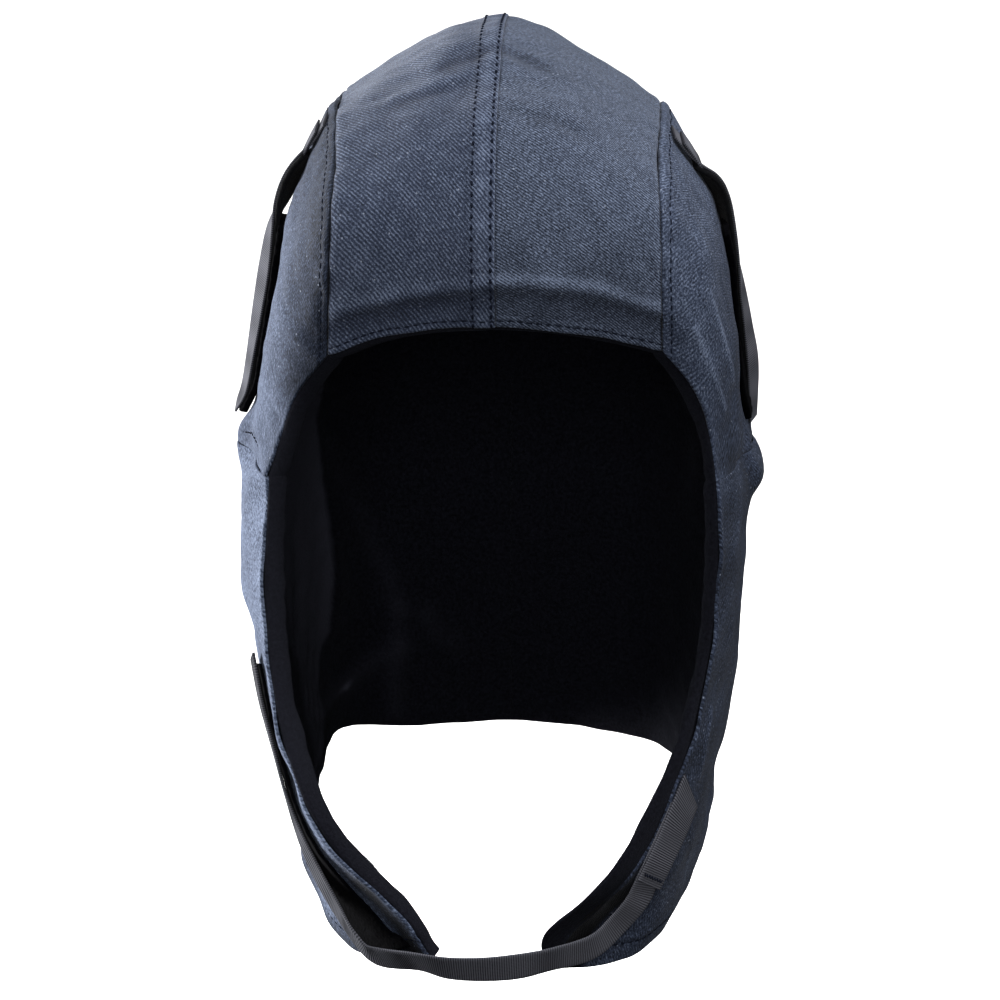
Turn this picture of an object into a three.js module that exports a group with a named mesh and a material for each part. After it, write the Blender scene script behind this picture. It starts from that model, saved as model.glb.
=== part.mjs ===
// A winter hood of navy flame-resistant twill with a black fleece lining: a three-panel cap over
// a neck skirt whose front runs down past the cheeks into two chin flaps, with a sewn strap at
// each temple and a strap under the chin. Millimetres. The face looks along -Y and +Z is up.
// Left and right are as seen from the front: left is -X. The origin is the seat, the inside of
// the crown where the wearer's head carries the hood.
import * as THREE from 'three';

// Walls and layers
const TWILL = 1.2;
const FLEECE = 4;
const GAP = 0.3;
const LIP = { left: 3, right: 1.5, reach: 14 };   // extra fleece rolled in along the face edge
const HOOK = 1;                                   // hook tape
const LOOP = 1;                                   // loop pad
const TEMPLE_WEB = { width: 10, thick: 1 };
const CHIN_WEB = { width: 12, thick: 1.2 };
const PAD_WIDTH = 16;

// The girth seam joins cap and skirt, this far below the seat. Heights in the tables are above it.
const GIRTH = -169.5;
const MIDDLE = { y: 5, height: 104 };            // middle of the head's dome
const SEAM_PINCH = { depth: 2, reach: 6 };
const SIDE_BULGE = { left: 7.6, right: 9.5 };

// Crown band from brow to girth seam: its centre line, its side seam, how square the section
// between them is, and how wide each half is against the seam's x.
const CROWN = [
  { at: 'brow', centre: [-95, 68.5], seam: [67, -84, 57], round: 2.0, left: 0.97, right: 1.015 },
  { at: 'forehead', centre: [-103, 90], seam: [67, -92, 84], round: 1.8, left: 0.95, right: 1.01 },
  { at: 'bend', centre: [-101, 116], seam: [67, -89, 110], round: 1.6, left: 0.94, right: 1.005 },
  { at: 'upper front', centre: [-84, 145], seam: [66, -70, 127], round: 1.4, left: 0.95, right: 1 },
  { at: 'front top', centre: [-48, 166], seam: [66, -36, 141], round: 1.3, left: 0.98, right: 1 },
  { at: 'top', centre: [-5, 175], seam: [66, 0, 144], round: 1.25, left: 1, right: 1 },
  { at: 'rear top', centre: [45, 169], seam: [66, 42, 139], round: 1.4, left: 1, right: 1 },
  { at: 'upper rear', centre: [88, 140], seam: [66, 76, 115], round: 1.6, left: 1, right: 1 },
  { at: 'occiput', centre: [112, 90], seam: [65, 96, 80], round: 1.8, left: 1, right: 1 },
  { at: 'back', centre: [118, 42], seam: [64, 101, 40], round: 1.8, left: 1, right: 1 },
  { at: 'girth', centre: [118, 0], seam: [64, 100, 0], round: 1.8, left: 1, right: 1 },
];
const OCCIPUT = 0.8;   // share of the band's length above the back corner of the side panel

// Face edge of a side panel, from the brow corner down to the girth seam
const TEMPLE_EDGE = [
  { height: 57, left: 65, right: 68, y: -84 },
  { height: 43, left: 70.5, right: 77.5, y: -77.5 },
  { height: 29.5, left: 78, right: 84, y: -73 },
  { height: 15, left: 84.5, right: 88, y: -69.5 },
  { height: 0, left: 89, right: 90.3, y: -68 },
];

// Neck skirt, a row for each level: the face edge on each side, then places [x, y, height] round
// to the nape, and how wide each side is against them.
const NECK = [
  { at: 'girth', leftEdge: [89, -68, 0], rightEdge: [90.3, -68, 0], cheek: [103, -32, 0],
    ear: [106, 12, 0], rear: [99, 58, 0], corner: [64, 100, 0], nape: [0, 118, 0],
    left: 1, right: 1 },
  { at: 'lobe', leftEdge: [93.5, -68, -40], rightEdge: [91.5, -68, -40], cheek: [103, -34, -40],
    ear: [105, 12, -40], rear: [98, 58, -40], corner: [64, 100, -40], nape: [0, 115.5, -40],
    left: 1.03, right: 0.98 },
  { at: 'jaw', leftEdge: [92, -72, -82], rightEdge: [87, -72, -80], cheek: [100, -37, -81],
    ear: [102, 9, -80], rear: [96, 57, -78], corner: [64, 98, -76], nape: [0, 112.5, -75],
    left: 1.045, right: 0.97 },
  { at: 'throat', leftEdge: [83, -83, -119], rightEdge: [77, -83, -118], cheek: [93, -45, -123],
    ear: [97, 6, -120], rear: [92, 56, -114], corner: [64, 98, -110], nape: [0, 113, -108],
    left: 0.95, right: 0.975 },
  { at: 'chin', leftEdge: [62, -99, -150], rightEdge: [58.5, -101.5, -153.5], cheek: [82, -57, -157],
    ear: [92, 1, -146], rear: [88, 54, -137], corner: [63, 97, -132], nape: [0, 116, -130],
    left: 0.945, right: 0.985 },
  { at: 'toe', leftEdge: [33, -110, -171], rightEdge: [31, -111, -176.5], cheek: [74, -63, -179],
    ear: [90, -1, -162], rear: [85, 55, -152], corner: [62, 97, -148], nape: [0, 118.5, -147],
    left: 0.955, right: 1 },
  { at: 'hem', leftEdge: [20, -112, -189.5], rightEdge: [27, -112, -194], cheek: [67, -67, -195],
    ear: [88, -3, -173], rear: [83, 56, -163], corner: [62, 97, -161], nape: [0, 120, -161],
    left: 0.975, right: 1 },
];
const CORNER = 0.8;    // share of the skirt's half width in front of the crown band
const NAPE_ROUND = 1.8;

// Main folds and dents: a ridge from one place to another, how far it reaches, and how far it
// moves the cloth outward and up
const FOLDS = [
  { name: 'left ear bulge', from: [-112, 10, -2], to: [-104, -10, 1], reach: 9, out: 4.5, up: 0 },
  { name: 'right ear bulge', from: [110, 8, -15], to: [106, -12, -13], reach: 8, out: 5, up: 0 },
  { name: 'full left top', from: [-24, -20, 172], to: [-22, 45, 165], reach: 22, out: 2.2, up: 0 },
  { name: 'low right shoulder', from: [68, -35, 140], to: [68, 45, 138], reach: 32, out: 0, up: -4 },
  { name: 'full left nape', from: [-88, 80, -130], to: [-88, 80, -165], reach: 34, out: 7, up: 8 },
  { name: 'low left brow', from: [-67, -84, 57], to: [-66, -84, 57], reach: 20, out: 0, up: -3 },
  { name: 'right flap roll', from: [86, -70, -115], to: [70, -86, -165], reach: 15, out: 2.5, up: 0 },
  { name: 'left flap roll', from: [-77, -82, -143], to: [-68, -86, -165], reach: 15, out: 3, up: 0 },
  { name: 'crown dent', from: [-14, -60, 158], to: [14, -52, 162], reach: 13, out: -2.5, up: 0 },
  { name: 'nape hollow', from: [-20, 118, -70], to: [30, 116, -62], reach: 26, out: -3, up: 0 },
];

// Temple straps: place on the side panel, lift of the webbing off the cloth, and how many degrees
// its outer face turns towards the front
const TEMPLE_PATH = {
  left: [
    { u: 0.53, v: 0.03, lift: 0.3, turn: 0 },
    { u: 0.53, v: 0.08, lift: 0.3, turn: 0 },
    { u: 0.53, v: 0.13, lift: 0.4, turn: 0 },
    { u: 0.52, v: 0.2, lift: 3.4, turn: 8 },
    { u: 0.51, v: 0.27, lift: 4.9, turn: 18 },
    { u: 0.5, v: 0.36, lift: 5.3, turn: 23 },
    { u: 0.49, v: 0.48, lift: 4.9, turn: 20 },
    { u: 0.475, v: 0.62, lift: 4.1, turn: 11 },
    { u: 0.46, v: 0.78, lift: 3.4, turn: 3 },
    { u: 0.45, v: 0.9, lift: 3.4, turn: 0 },
  ],
  right: [
    { u: 0.53, v: 0.03, lift: 0.3, turn: 0 },
    { u: 0.53, v: 0.08, lift: 0.3, turn: 0 },
    { u: 0.53, v: 0.13, lift: 0.4, turn: 0 },
    { u: 0.52, v: 0.19, lift: 4.6, turn: -8 },
    { u: 0.51, v: 0.24, lift: 5.1, turn: -8 },
    { u: 0.5, v: 0.3, lift: 4.5, turn: 0 },
    { u: 0.5, v: 0.42, lift: 3.8, turn: 6 },
    { u: 0.49, v: 0.55, lift: 3.9, turn: 10 },
    { u: 0.47, v: 0.72, lift: 4.2, turn: 10 },
    { u: 0.46, v: 0.84, lift: 3.7, turn: 6 },
    { u: 0.45, v: 0.95, lift: 3.2, turn: 0 },
  ],
};
const TEMPLE_TAB = { v: [0.02, 0.07, 0.12], u: 0.53, lift: 1.8 };
const TEMPLE_PAD = [
  { u: 0.51, v: 0.26 },
  { u: 0.497, v: 0.4 },
  { u: 0.482, v: 0.56 },
  { u: 0.464, v: 0.74 },
  { u: 0.451, v: 0.92 },
];
const TEMPLE_HOOK = { from: 0.26, to: 0.985, width: 12 };   // shares of the strap's path

// Chin strap, from under its sewn tab on the right flap, across the chin, to its free end on the
// left flap: places on a flap, or free places with the way the webbing faces
const CHIN_PATH = [
  { flap: 1, u: 0.055, w: 0.56, lift: 0.5 },
  { flap: 1, u: 0.055, w: 0.62, lift: 0.5 },
  { flap: 1, u: 0.055, w: 0.675, lift: 0.5 },
  { flap: 1, u: 0.055, w: 0.73, lift: 2.2 },
  { flap: 1, u: 0.055, w: 0.8, lift: 5.2 },
  { flap: 1, u: 0.05, w: 0.88, lift: 3.4 },
  { place: [25.5, -115.5, -357.5], facing: [0.45, -0.86, -0.25] },
  { place: [12, -120.5, -359.5], facing: [0.2, -0.93, -0.31] },
  { place: [-2, -122, -360.5], facing: [0, -0.94, -0.34] },
  { place: [-16, -120.5, -360.5], facing: [-0.2, -0.93, -0.31] },
  { place: [-29, -115, -360], facing: [-0.42, -0.87, -0.27] },
  { flap: -1, u: 0.075, w: 0.945, lift: 7 },
  { flap: -1, u: 0.09, w: 0.875, lift: 8.6 },
  { flap: -1, u: 0.105, w: 0.8, lift: 7 },
  { flap: -1, u: 0.105, w: 0.7, lift: 4.8 },
  { flap: -1, u: 0.1, w: 0.6, lift: 4.2 },
  { flap: -1, u: 0.1, w: 0.5, lift: 4.2 },
  { flap: -1, u: 0.1, w: 0.4, lift: 4.2 },
  { flap: -1, u: 0.11, w: 0.32, lift: 4.4 },
];
const CHIN_TAB = { w: [0.525, 0.575, 0.625, 0.67], u: 0.055, lift: 2 };
const CHIN_PAD = { w: [0.34, 0.45, 0.56, 0.67, 0.78, 0.88, 0.96], u: 0.1, lift: 0.8 };
const CHIN_HOOK = { from: 0.76, to: 0.99, width: 11 };

// How finely each piece is divided
const OVER = 14;     // along the crown seam, and the side panels and skirt below it
const DOWN = 8;      // down the back of the side panels
const BAND = 6;      // across half of the crown band
const DROP = 11;     // down the skirt
const WEB_STEP = 6;  // along webbing and tapes

const vec = ([x, y, z]) => new THREE.Vector3(x, y, z);
const through = (points) => new THREE.CatmullRomCurve3(points.map(vec), false, 'catmullrom', 0.5);
const span = (from, to, steps) => Array.from({ length: steps + 1 },
  (_, i) => from + ((to - from) * i) / steps);
const within = (share) => THREE.MathUtils.clamp(share, 0, 1);

// The way out of the hood at a place, shared by all panels so that their walls never cross: away
// from an upright line up to the dome's middle, and from that middle above it
function outward(p) {
  return new THREE.Vector3(p.x, p.y - MIDDLE.y, p.z - Math.min(p.z, MIDDLE.height)).normalize();
}

// Adds the girth seam's pinch and the folds to a table place, and moves it under the seat
function folded(p) {
  let out = -SEAM_PINCH.depth * Math.exp(-((p.z / SEAM_PINCH.reach) ** 2));
  let up = 0;
  for (const fold of FOLDS) {
    const ridge = new THREE.Line3(vec(fold.from), vec(fold.to));
    const nearest = ridge.closestPointToPoint(p, true, new THREE.Vector3());
    const share = Math.exp(-((nearest.distanceTo(p) / fold.reach) ** 2));
    out += fold.out * share;
    up += fold.up * share;
  }
  const place = p.clone().addScaledVector(outward(p), out);
  place.z += up + GIRTH;
  return place;
}

const crownCentre = through(CROWN.map((row) => [0, ...row.centre]));
const crownSeam = through(CROWN.map((row) => row.seam));
const crownShape = through(CROWN.map((row) => [row.round, row.left, row.right]));

// Crown band: t runs from brow to girth seam, s from -1 at the left seam to 1 at the right one
function crownBand(t, s) {
  const centre = crownCentre.getPoint(t);
  const seam = crownSeam.getPoint(t);
  const shape = crownShape.getPoint(t);
  const place = centre.lerp(seam, Math.abs(s) ** shape.x);
  place.x = seam.x * s * (s < 0 ? shape.y : shape.z);
  return place;
}

const NECK_COLUMNS = ['cheek', 'ear', 'rear', 'corner', 'nape'];
const neckCurves = NECK_COLUMNS.map((column) => through(NECK.map((row) => row[column])));
const neckEdges = {
  left: through(NECK.map((row) => row.leftEdge)),
  right: through(NECK.map((row) => row.rightEdge)),
};
const neckWidth = through(NECK.map((row) => [row.left, row.right, 0]));

// Neck skirt: q runs from -1 at the left face edge over 0 at the nape to 1 at the right face
// edge, w from the girth seam to the hem
function neckSkirt(q, w) {
  const width = neckWidth.getPoint(w);
  const stretch = q < 0 ? width.x : width.y;
  const edge = (q < 0 ? neckEdges.left : neckEdges.right).getPoint(w);
  const columns = neckCurves.map((curve) => curve.getPoint(w));
  columns.forEach((place) => { place.x *= stretch; });
  const u = 1 - Math.abs(q);
  let place;
  if (u > CORNER) {
    const [, , , corner, nape] = columns;
    const s = (1 - u) / (1 - CORNER);
    place = nape.lerp(corner, s ** NAPE_ROUND);
    place.x = corner.x * s;
  } else {
    place = new THREE.CatmullRomCurve3([edge, ...columns], false, 'catmullrom', 0.5).getPoint(u);
  }
  place.x *= q < 0 ? -1 : 1;
  return place;
}

const templeEdge = {
  left: through(TEMPLE_EDGE.map((row) => [-row.left, row.y, row.height])),
  right: through(TEMPLE_EDGE.map((row) => [row.right, row.y, row.height])),
};

// Side panel, spanned between its four edges and filled out: u runs back from the face edge, v
// down from the crown seam to the girth seam
function sidePanel(side, u, v) {
  const top = (share) => crownBand(OCCIPUT * share, side);
  const low = (share) => neckSkirt(side * (1 - CORNER * share), 0);
  const front = (side < 0 ? templeEdge.left : templeEdge.right).getPoint(v);
  const back = crownBand(OCCIPUT + (1 - OCCIPUT) * v, side);
  const place = new THREE.Vector3()
    .addScaledVector(top(u), 1 - v).addScaledVector(low(u), v)
    .addScaledVector(front, 1 - u).addScaledVector(back, u)
    .addScaledVector(top(0), -(1 - u) * (1 - v)).addScaledVector(top(1), -u * (1 - v))
    .addScaledVector(low(0), -(1 - u) * v).addScaledVector(low(1), -u * v);
  const bulge = side < 0 ? SIDE_BULGE.left : SIDE_BULGE.right;
  place.x += side * bulge * Math.sin(Math.PI * u) ** 0.8 * Math.sin(Math.PI * v ** 0.65);
  return place;
}

const crown = (t, s) => folded(crownBand(t, s));
const neck = (q, w) => folded(neckSkirt(q, w));
const sideOf = (side) => (u, v) => folded(sidePanel(side, within(u), within(v)));

// The cloth's outer face and its true normal at a place of a surface
function faceAt(surface, a, b, range) {
  const step = 1e-3;
  const [aLow, aHigh, bLow, bHigh] = range;
  const along = surface(Math.min(a + step, aHigh), b).sub(surface(Math.max(a - step, aLow), b));
  const across = surface(a, Math.min(b + step, bHigh)).sub(surface(a, Math.max(b - step, bLow)));
  const place = surface(a, b);
  const out = outward(new THREE.Vector3(place.x, place.y, place.z - GIRTH));
  const normal = along.cross(across).normalize();
  if (normal.dot(out) < 0) normal.negate();
  return { place, out, normal };
}

// A closed body from the two faces of a wall, given as rows of places
function closedWall(outer, inner) {
  const rows = outer.length;
  const columns = outer[0].length;
  const places = [...outer.flat(), ...inner.flat()];
  const faces = [];
  const quad = (a, b, c, d) => faces.push(a, b, c, a, c, d);
  const at = (layer, i, j) => layer * rows * columns + i * columns + j;
  for (let i = 0; i < rows - 1; i += 1) {
    for (let j = 0; j < columns - 1; j += 1) {
      quad(at(0, i, j), at(0, i + 1, j), at(0, i + 1, j + 1), at(0, i, j + 1));
      quad(at(1, i, j), at(1, i, j + 1), at(1, i + 1, j + 1), at(1, i + 1, j));
    }
    quad(at(0, i, 0), at(1, i, 0), at(1, i + 1, 0), at(0, i + 1, 0));
    quad(at(0, i, columns - 1), at(0, i + 1, columns - 1), at(1, i + 1, columns - 1), at(1, i, columns - 1));
  }
  for (let j = 0; j < columns - 1; j += 1) {
    quad(at(0, 0, j), at(0, 0, j + 1), at(1, 0, j + 1), at(1, 0, j));
    quad(at(0, rows - 1, j), at(1, rows - 1, j), at(1, rows - 1, j + 1), at(0, rows - 1, j + 1));
  }
  let volume = 0;
  for (let i = 0; i < faces.length; i += 3) {
    const [a, b, c] = [faces[i], faces[i + 1], faces[i + 2]].map((index) => places[index]);
    volume += a.dot(new THREE.Vector3().crossVectors(b, c)) / 6;
  }
  if (volume < 0) faces.reverse();
  const geometry = new THREE.BufferGeometry().setFromPoints(places);
  geometry.setIndex(faces);
  geometry.computeVertexNormals();
  return geometry;
}

// Draws the edges of a grid of places in by half a gap, so that pieces clear each other at seams
function drawnIn(grid) {
  const rows = grid.length;
  const columns = grid[0].length;
  const pull = (i, j, towardI, towardJ) => grid[towardI][towardJ].clone().sub(grid[i][j]).setLength(GAP / 2);
  return grid.map((row, i) => row.map((place, j) => {
    const moved = place.clone();
    if (i === 0) moved.add(pull(i, j, 1, j));
    if (i === rows - 1) moved.add(pull(i, j, rows - 2, j));
    if (j === 0) moved.add(pull(i, j, i, 1));
    if (j === columns - 1) moved.add(pull(i, j, i, columns - 2));
    return moved;
  }));
}

// A cloth wall that follows a surface: its outer face lies `below` the surface. Where the surface
// is steep to the way out, the wall is set deeper so that it keeps its thickness.
const STEEPEST = 0.6;
function clothWall(surface, aSteps, bSteps, range, below, thick) {
  const layer = (depthAt) => drawnIn(aSteps.map((a) => bSteps.map((b) => {
    const { place, out, normal } = faceAt(surface, a, b, range);
    return place.addScaledVector(out, -depthAt(a, b) / Math.max(STEEPEST, normal.dot(out)));
  })));
  return closedWall(layer(() => below), layer((a, b) => below + thick(a, b)));
}

// The lining's rolled lip, by distance from the face edge
const CROWN_LENGTH = 430;
const SKIRT_HALF = 200;
const lipThick = (side, distance) => FLEECE
  + (side < 0 ? LIP.left : LIP.right) * Math.exp(-((distance / LIP.reach) ** 2));
const crownLip = (t, s) => lipThick(s, t * CROWN_LENGTH);
const neckLip = (q) => lipThick(q, ((1 - Math.abs(q)) / CORNER) * SKIRT_HALF);
const sideLip = (side) => (u, v) => lipThick(side, u * (OCCIPUT * CROWN_LENGTH * (1 - v) + SKIRT_HALF * v));

const overBand = [...span(0, OCCIPUT, OVER), ...span(OCCIPUT, 1, DOWN).slice(1)];
const fromNape = [...span(0, 1 - CORNER, BAND), ...span(1 - CORNER, 1, OVER).slice(1)];
const around = { left: fromNape.map((q) => -q).reverse(), right: fromNape };
const WHOLE = [0, 1, -1, 1];
const ROUND = [-1, 1, 0, 1];
const UNIT = [0, 1, 0, 1];

// Webbing or tape along frames of middle place and facing: `inner` is how far its inner face
// lies off the path
function ribbon(frames, width, inner, thick) {
  const curve = through(frames.map(({ place }) => place.toArray()));
  const facings = through(frames.map(({ facing }) => facing.toArray()));
  return (from, to) => {
    const length = curve.getLength() * (to - from);
    const rows = span(from, to, Math.max(2, Math.round(length / WEB_STEP))).map((t) => {
      const tangent = curve.getTangent(t);
      const facing = facings.getPoint(t);
      facing.addScaledVector(tangent, -facing.dot(tangent)).normalize();
      const across = new THREE.Vector3().crossVectors(tangent, facing).multiplyScalar(width / 2);
      const middle = curve.getPoint(t).addScaledVector(facing, inner);
      const lower = [middle.clone().sub(across), middle.clone().add(across)];
      return { lower, upper: lower.map((place) => place.clone().addScaledVector(facing, thick)) };
    });
    return closedWall(rows.map((row) => row.upper), rows.map((row) => row.lower));
  };
}

// A frame on a panel, lifted off it and turned about the way the strap runs
function onPanel(surface, range, a, b, lift, turn = 0, axis = new THREE.Vector3(0, 0, -1)) {
  const { place, normal } = faceAt(surface, a, b, range);
  const facing = normal.clone().applyAxisAngle(axis, THREE.MathUtils.degToRad(turn));
  return { place: place.addScaledVector(normal, lift), facing };
}
const onFlap = (flap, u, w, lift) => onPanel(neck, ROUND, flap * (1 - u), w, lift);

const navy = new THREE.MeshStandardMaterial({ color: 0x2c3445, roughness: 0.9, metalness: 0 });
const black = new THREE.MeshStandardMaterial({ color: 0x0b0b10, roughness: 1, metalness: 0 });
const webbing = new THREE.MeshStandardMaterial({ color: 0x2a2b2f, roughness: 0.7, metalness: 0 });
const tape = new THREE.MeshStandardMaterial({ color: 0x08080a, roughness: 0.95, metalness: 0 });

const hood = new THREE.Group();
function add(name, geometry, material) {
  const mesh = new THREE.Mesh(geometry, material);
  mesh.name = name;
  hood.add(mesh);
}

function addPanels() {
  const acrossHalf = { left: span(-1, 0, BAND), right: span(0, 1, BAND) };
  const twill = () => TWILL;
  for (const [name, side] of [['left', -1], ['right', 1]]) {
    add(`crown_${name}`, clothWall(crown, overBand, acrossHalf[name], WHOLE, 0, twill), navy);
    add(`side_${name}`, clothWall(sideOf(side), span(0, 1, OVER), span(0, 1, DOWN), UNIT, 0, twill), navy);
    add(`neck_${name}`, clothWall(neck, around[name], span(0, 1, DROP), ROUND, 0, twill), navy);
  }
}

function addLining() {
  const below = TWILL + GAP;
  add('lining_crown', clothWall(crown, overBand, span(-1, 1, 2 * BAND), WHOLE, below, crownLip), black);
  for (const [name, side] of [['left', -1], ['right', 1]]) {
    const surface = sideOf(side);
    add(`lining_side_${name}`,
      clothWall(surface, span(0, 1, OVER), span(0, 1, DOWN), UNIT, below, sideLip(side)), black);
  }
  const whole = [...around.left, ...around.right.slice(1)];
  add('lining_neck', clothWall(neck, whole, span(0, 1, DROP), ROUND, below, neckLip), black);
}

function addTempleStraps() {
  for (const [name, side] of [['left', -1], ['right', 1]]) {
    const surface = sideOf(side);
    const at = (u, v, lift, turn = 0) => onPanel(surface, UNIT, u, v, lift, side * turn);
    const path = TEMPLE_PATH[name].map(({ u, v, lift, turn }) => at(u, v, lift, turn));
    const tab = TEMPLE_TAB.v.map((v) => at(TEMPLE_TAB.u, v, TEMPLE_TAB.lift));
    const pad = TEMPLE_PAD.map(({ u, v }) => at(u, v, GAP));
    const { width, thick } = TEMPLE_WEB;
    add(`temple_strap_${name}`, ribbon(path, width, 0, thick)(0, 1), webbing);
    add(`temple_hook_${name}`,
      ribbon(path, TEMPLE_HOOK.width, -GAP - HOOK, HOOK)(TEMPLE_HOOK.from, TEMPLE_HOOK.to), tape);
    add(`temple_tab_${name}`, ribbon(tab, width, 0, thick)(0, 1), webbing);
    add(`temple_loop_${name}`, ribbon(pad, PAD_WIDTH, 0, LOOP)(0, 1), tape);
  }
}

function addChinStrap() {
  const path = CHIN_PATH.map((row) => (row.flap
    ? onFlap(row.flap, row.u, row.w, row.lift)
    : { place: vec(row.place), facing: vec(row.facing) }));
  const tab = CHIN_TAB.w.map((w) => onFlap(1, CHIN_TAB.u, w, CHIN_TAB.lift));
  const pad = CHIN_PAD.w.map((w) => onFlap(-1, CHIN_PAD.u, w, CHIN_PAD.lift));
  const { width, thick } = CHIN_WEB;
  add('chin_strap', ribbon(path, width, 0, thick)(0, 1), webbing);
  add('chin_tab', ribbon(tab, width, 0, thick)(0, 1), webbing);
  add('chin_hook', ribbon(path, CHIN_HOOK.width, -GAP - HOOK, HOOK)(CHIN_HOOK.from, CHIN_HOOK.to), tape);
  add('chin_loop', ribbon(pad, PAD_WIDTH, 0, LOOP)(0, 1), tape);
}

addPanels();
addLining();
addTempleStraps();
addChinStrap();

export default hood;
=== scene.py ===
"""A winter hood of navy flame-resistant twill with a black fleece lining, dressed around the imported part.

Lengths are millimetres until a mesh is made. The face looks along -Y and +Z is up. Left and right
are as seen from the front: left is -X.
"""
import math

import bmesh
import bpy
import numpy as np
from mathutils import Matrix, Vector


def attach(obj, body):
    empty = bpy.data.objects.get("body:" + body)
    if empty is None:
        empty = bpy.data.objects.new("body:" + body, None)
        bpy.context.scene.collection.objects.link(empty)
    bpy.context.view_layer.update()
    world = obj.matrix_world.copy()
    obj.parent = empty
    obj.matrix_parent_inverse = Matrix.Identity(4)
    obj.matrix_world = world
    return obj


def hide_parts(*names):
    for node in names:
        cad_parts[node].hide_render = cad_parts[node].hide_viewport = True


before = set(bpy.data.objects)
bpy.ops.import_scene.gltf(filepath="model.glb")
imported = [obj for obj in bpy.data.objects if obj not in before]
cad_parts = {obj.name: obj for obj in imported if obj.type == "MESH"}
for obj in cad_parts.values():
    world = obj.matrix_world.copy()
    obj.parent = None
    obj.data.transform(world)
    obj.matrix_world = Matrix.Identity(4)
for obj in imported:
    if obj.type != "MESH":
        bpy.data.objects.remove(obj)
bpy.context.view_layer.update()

MM = 0.001

# Camera: straight on, a little from the right and from above
AZIMUTH = math.radians(2.5)
ELEVATION = math.radians(15)
DISTANCE = 1.8
VIEW_WIDTH = 0.42        # how much the picture spans at the hood, in metres
SENSOR = 36
LOOK_AT = Vector((0, 0, -0.1963))


def direction(azimuth, elevation):
    """The way from the hood to a place that is seen at these angles."""
    level = math.cos(elevation)
    return Vector((math.sin(azimuth) * level, -math.cos(azimuth) * level, math.sin(elevation)))


camera = bpy.data.objects.new("camera", bpy.data.cameras.new("camera"))
bpy.context.scene.collection.objects.link(camera)
camera.data.sensor_width = SENSOR
camera.data.lens = SENSOR * DISTANCE / VIEW_WIDTH
camera.data.clip_end = 100
camera.location = LOOK_AT + direction(AZIMUTH, ELEVATION) * DISTANCE
camera.rotation_euler = (math.pi / 2 - ELEVATION, 0, AZIMUTH)
bpy.context.scene.camera = camera

# The hood's surfaces follow the part's solids, eased by a few millimetres at the face edge and the flaps.
# Where a value is given for -1 and for 1, they are the left side and the right side
SIDE_NAME = {-1: "left", 1: "right"}
TWILL = 1.2              # depth that the twill takes up, and the thickness of its sheet
TWILL_SHEET = 1.1
FLEECE = 4               # depth of the lining behind it, and the thickness of its sheet
FLEECE_SHEET = 1.4
GAP = 0.3
LIP = {-1: 5, 1: 1.8}    # how much thicker the lining is at the face edge
LIP_REACH = 14
GIRTH = -169.5           # height of the seam between the crown and the neck skirt
MIDDLE_Y = 5             # centre of the dome that the cloth is lifted from, with its height above that seam
MIDDLE_HEIGHT = 104
PINCH_DEPTH = 2          # how far the girth seam draws the cloth in, and how wide
PINCH_REACH = 6
UNPINCHED = (-64, -34)   # in front of this stretch of y it doesn't
SIDE_BULGE = {-1: 7.6, 1: 9.5}
BULGE_ROUND = 0.8        # the bulge's form along the panel, and down it, as powers
BULGE_HIGH = 0.65
OCCIPUT = 0.8            # where the side panels end, as a share of the crown band
CORNER = 0.8             # where the rear corner is, as a share of half the skirt
ROUND_NAPE = 1.8
STEEPEST = 0.6           # the least that a surface is taken to face outwards

# The crown band from the brow to the nape: centre y, centre height, seam x, seam y, seam height,
# roundness across, and how wide it is left and right
CROWN = [
    (-95, 68.5, 67, -84, 57, 2.0, 0.97, 1.015),
    (-103, 90, 67, -92, 84, 1.8, 0.95, 1.01),
    (-101, 116, 67, -89, 110, 1.6, 0.94, 1.005),
    (-84, 145, 66, -70, 127, 1.4, 0.95, 1.0),
    (-48, 166, 66, -36, 141, 1.3, 0.98, 1.0),
    (-5, 175, 66, 0, 144, 1.25, 1.0, 1.0),
    (45, 169, 66, 42, 139, 1.4, 1.0, 1.0),
    (88, 140, 66, 76, 115, 1.6, 1.0, 1.0),
    (112, 90, 65, 96, 80, 1.8, 1.0, 1.0),
    (118, 42, 64, 101, 40, 1.8, 1.0, 1.0),
    (118, 0, 64, 100, 0, 1.8, 1.0, 1.0),
]
# The side panels' face edge, from the brow's corner to the girth seam: height, left x, right x, y
TEMPLE_EDGE = [
    (57, 65, 68, -84),
    (43, 74.5, 78.5, -77.5),
    (29.5, 81.8, 85, -73),
    (15, 87, 89, -69.5),
    (0, 92, 91.5, -68),
]
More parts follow.
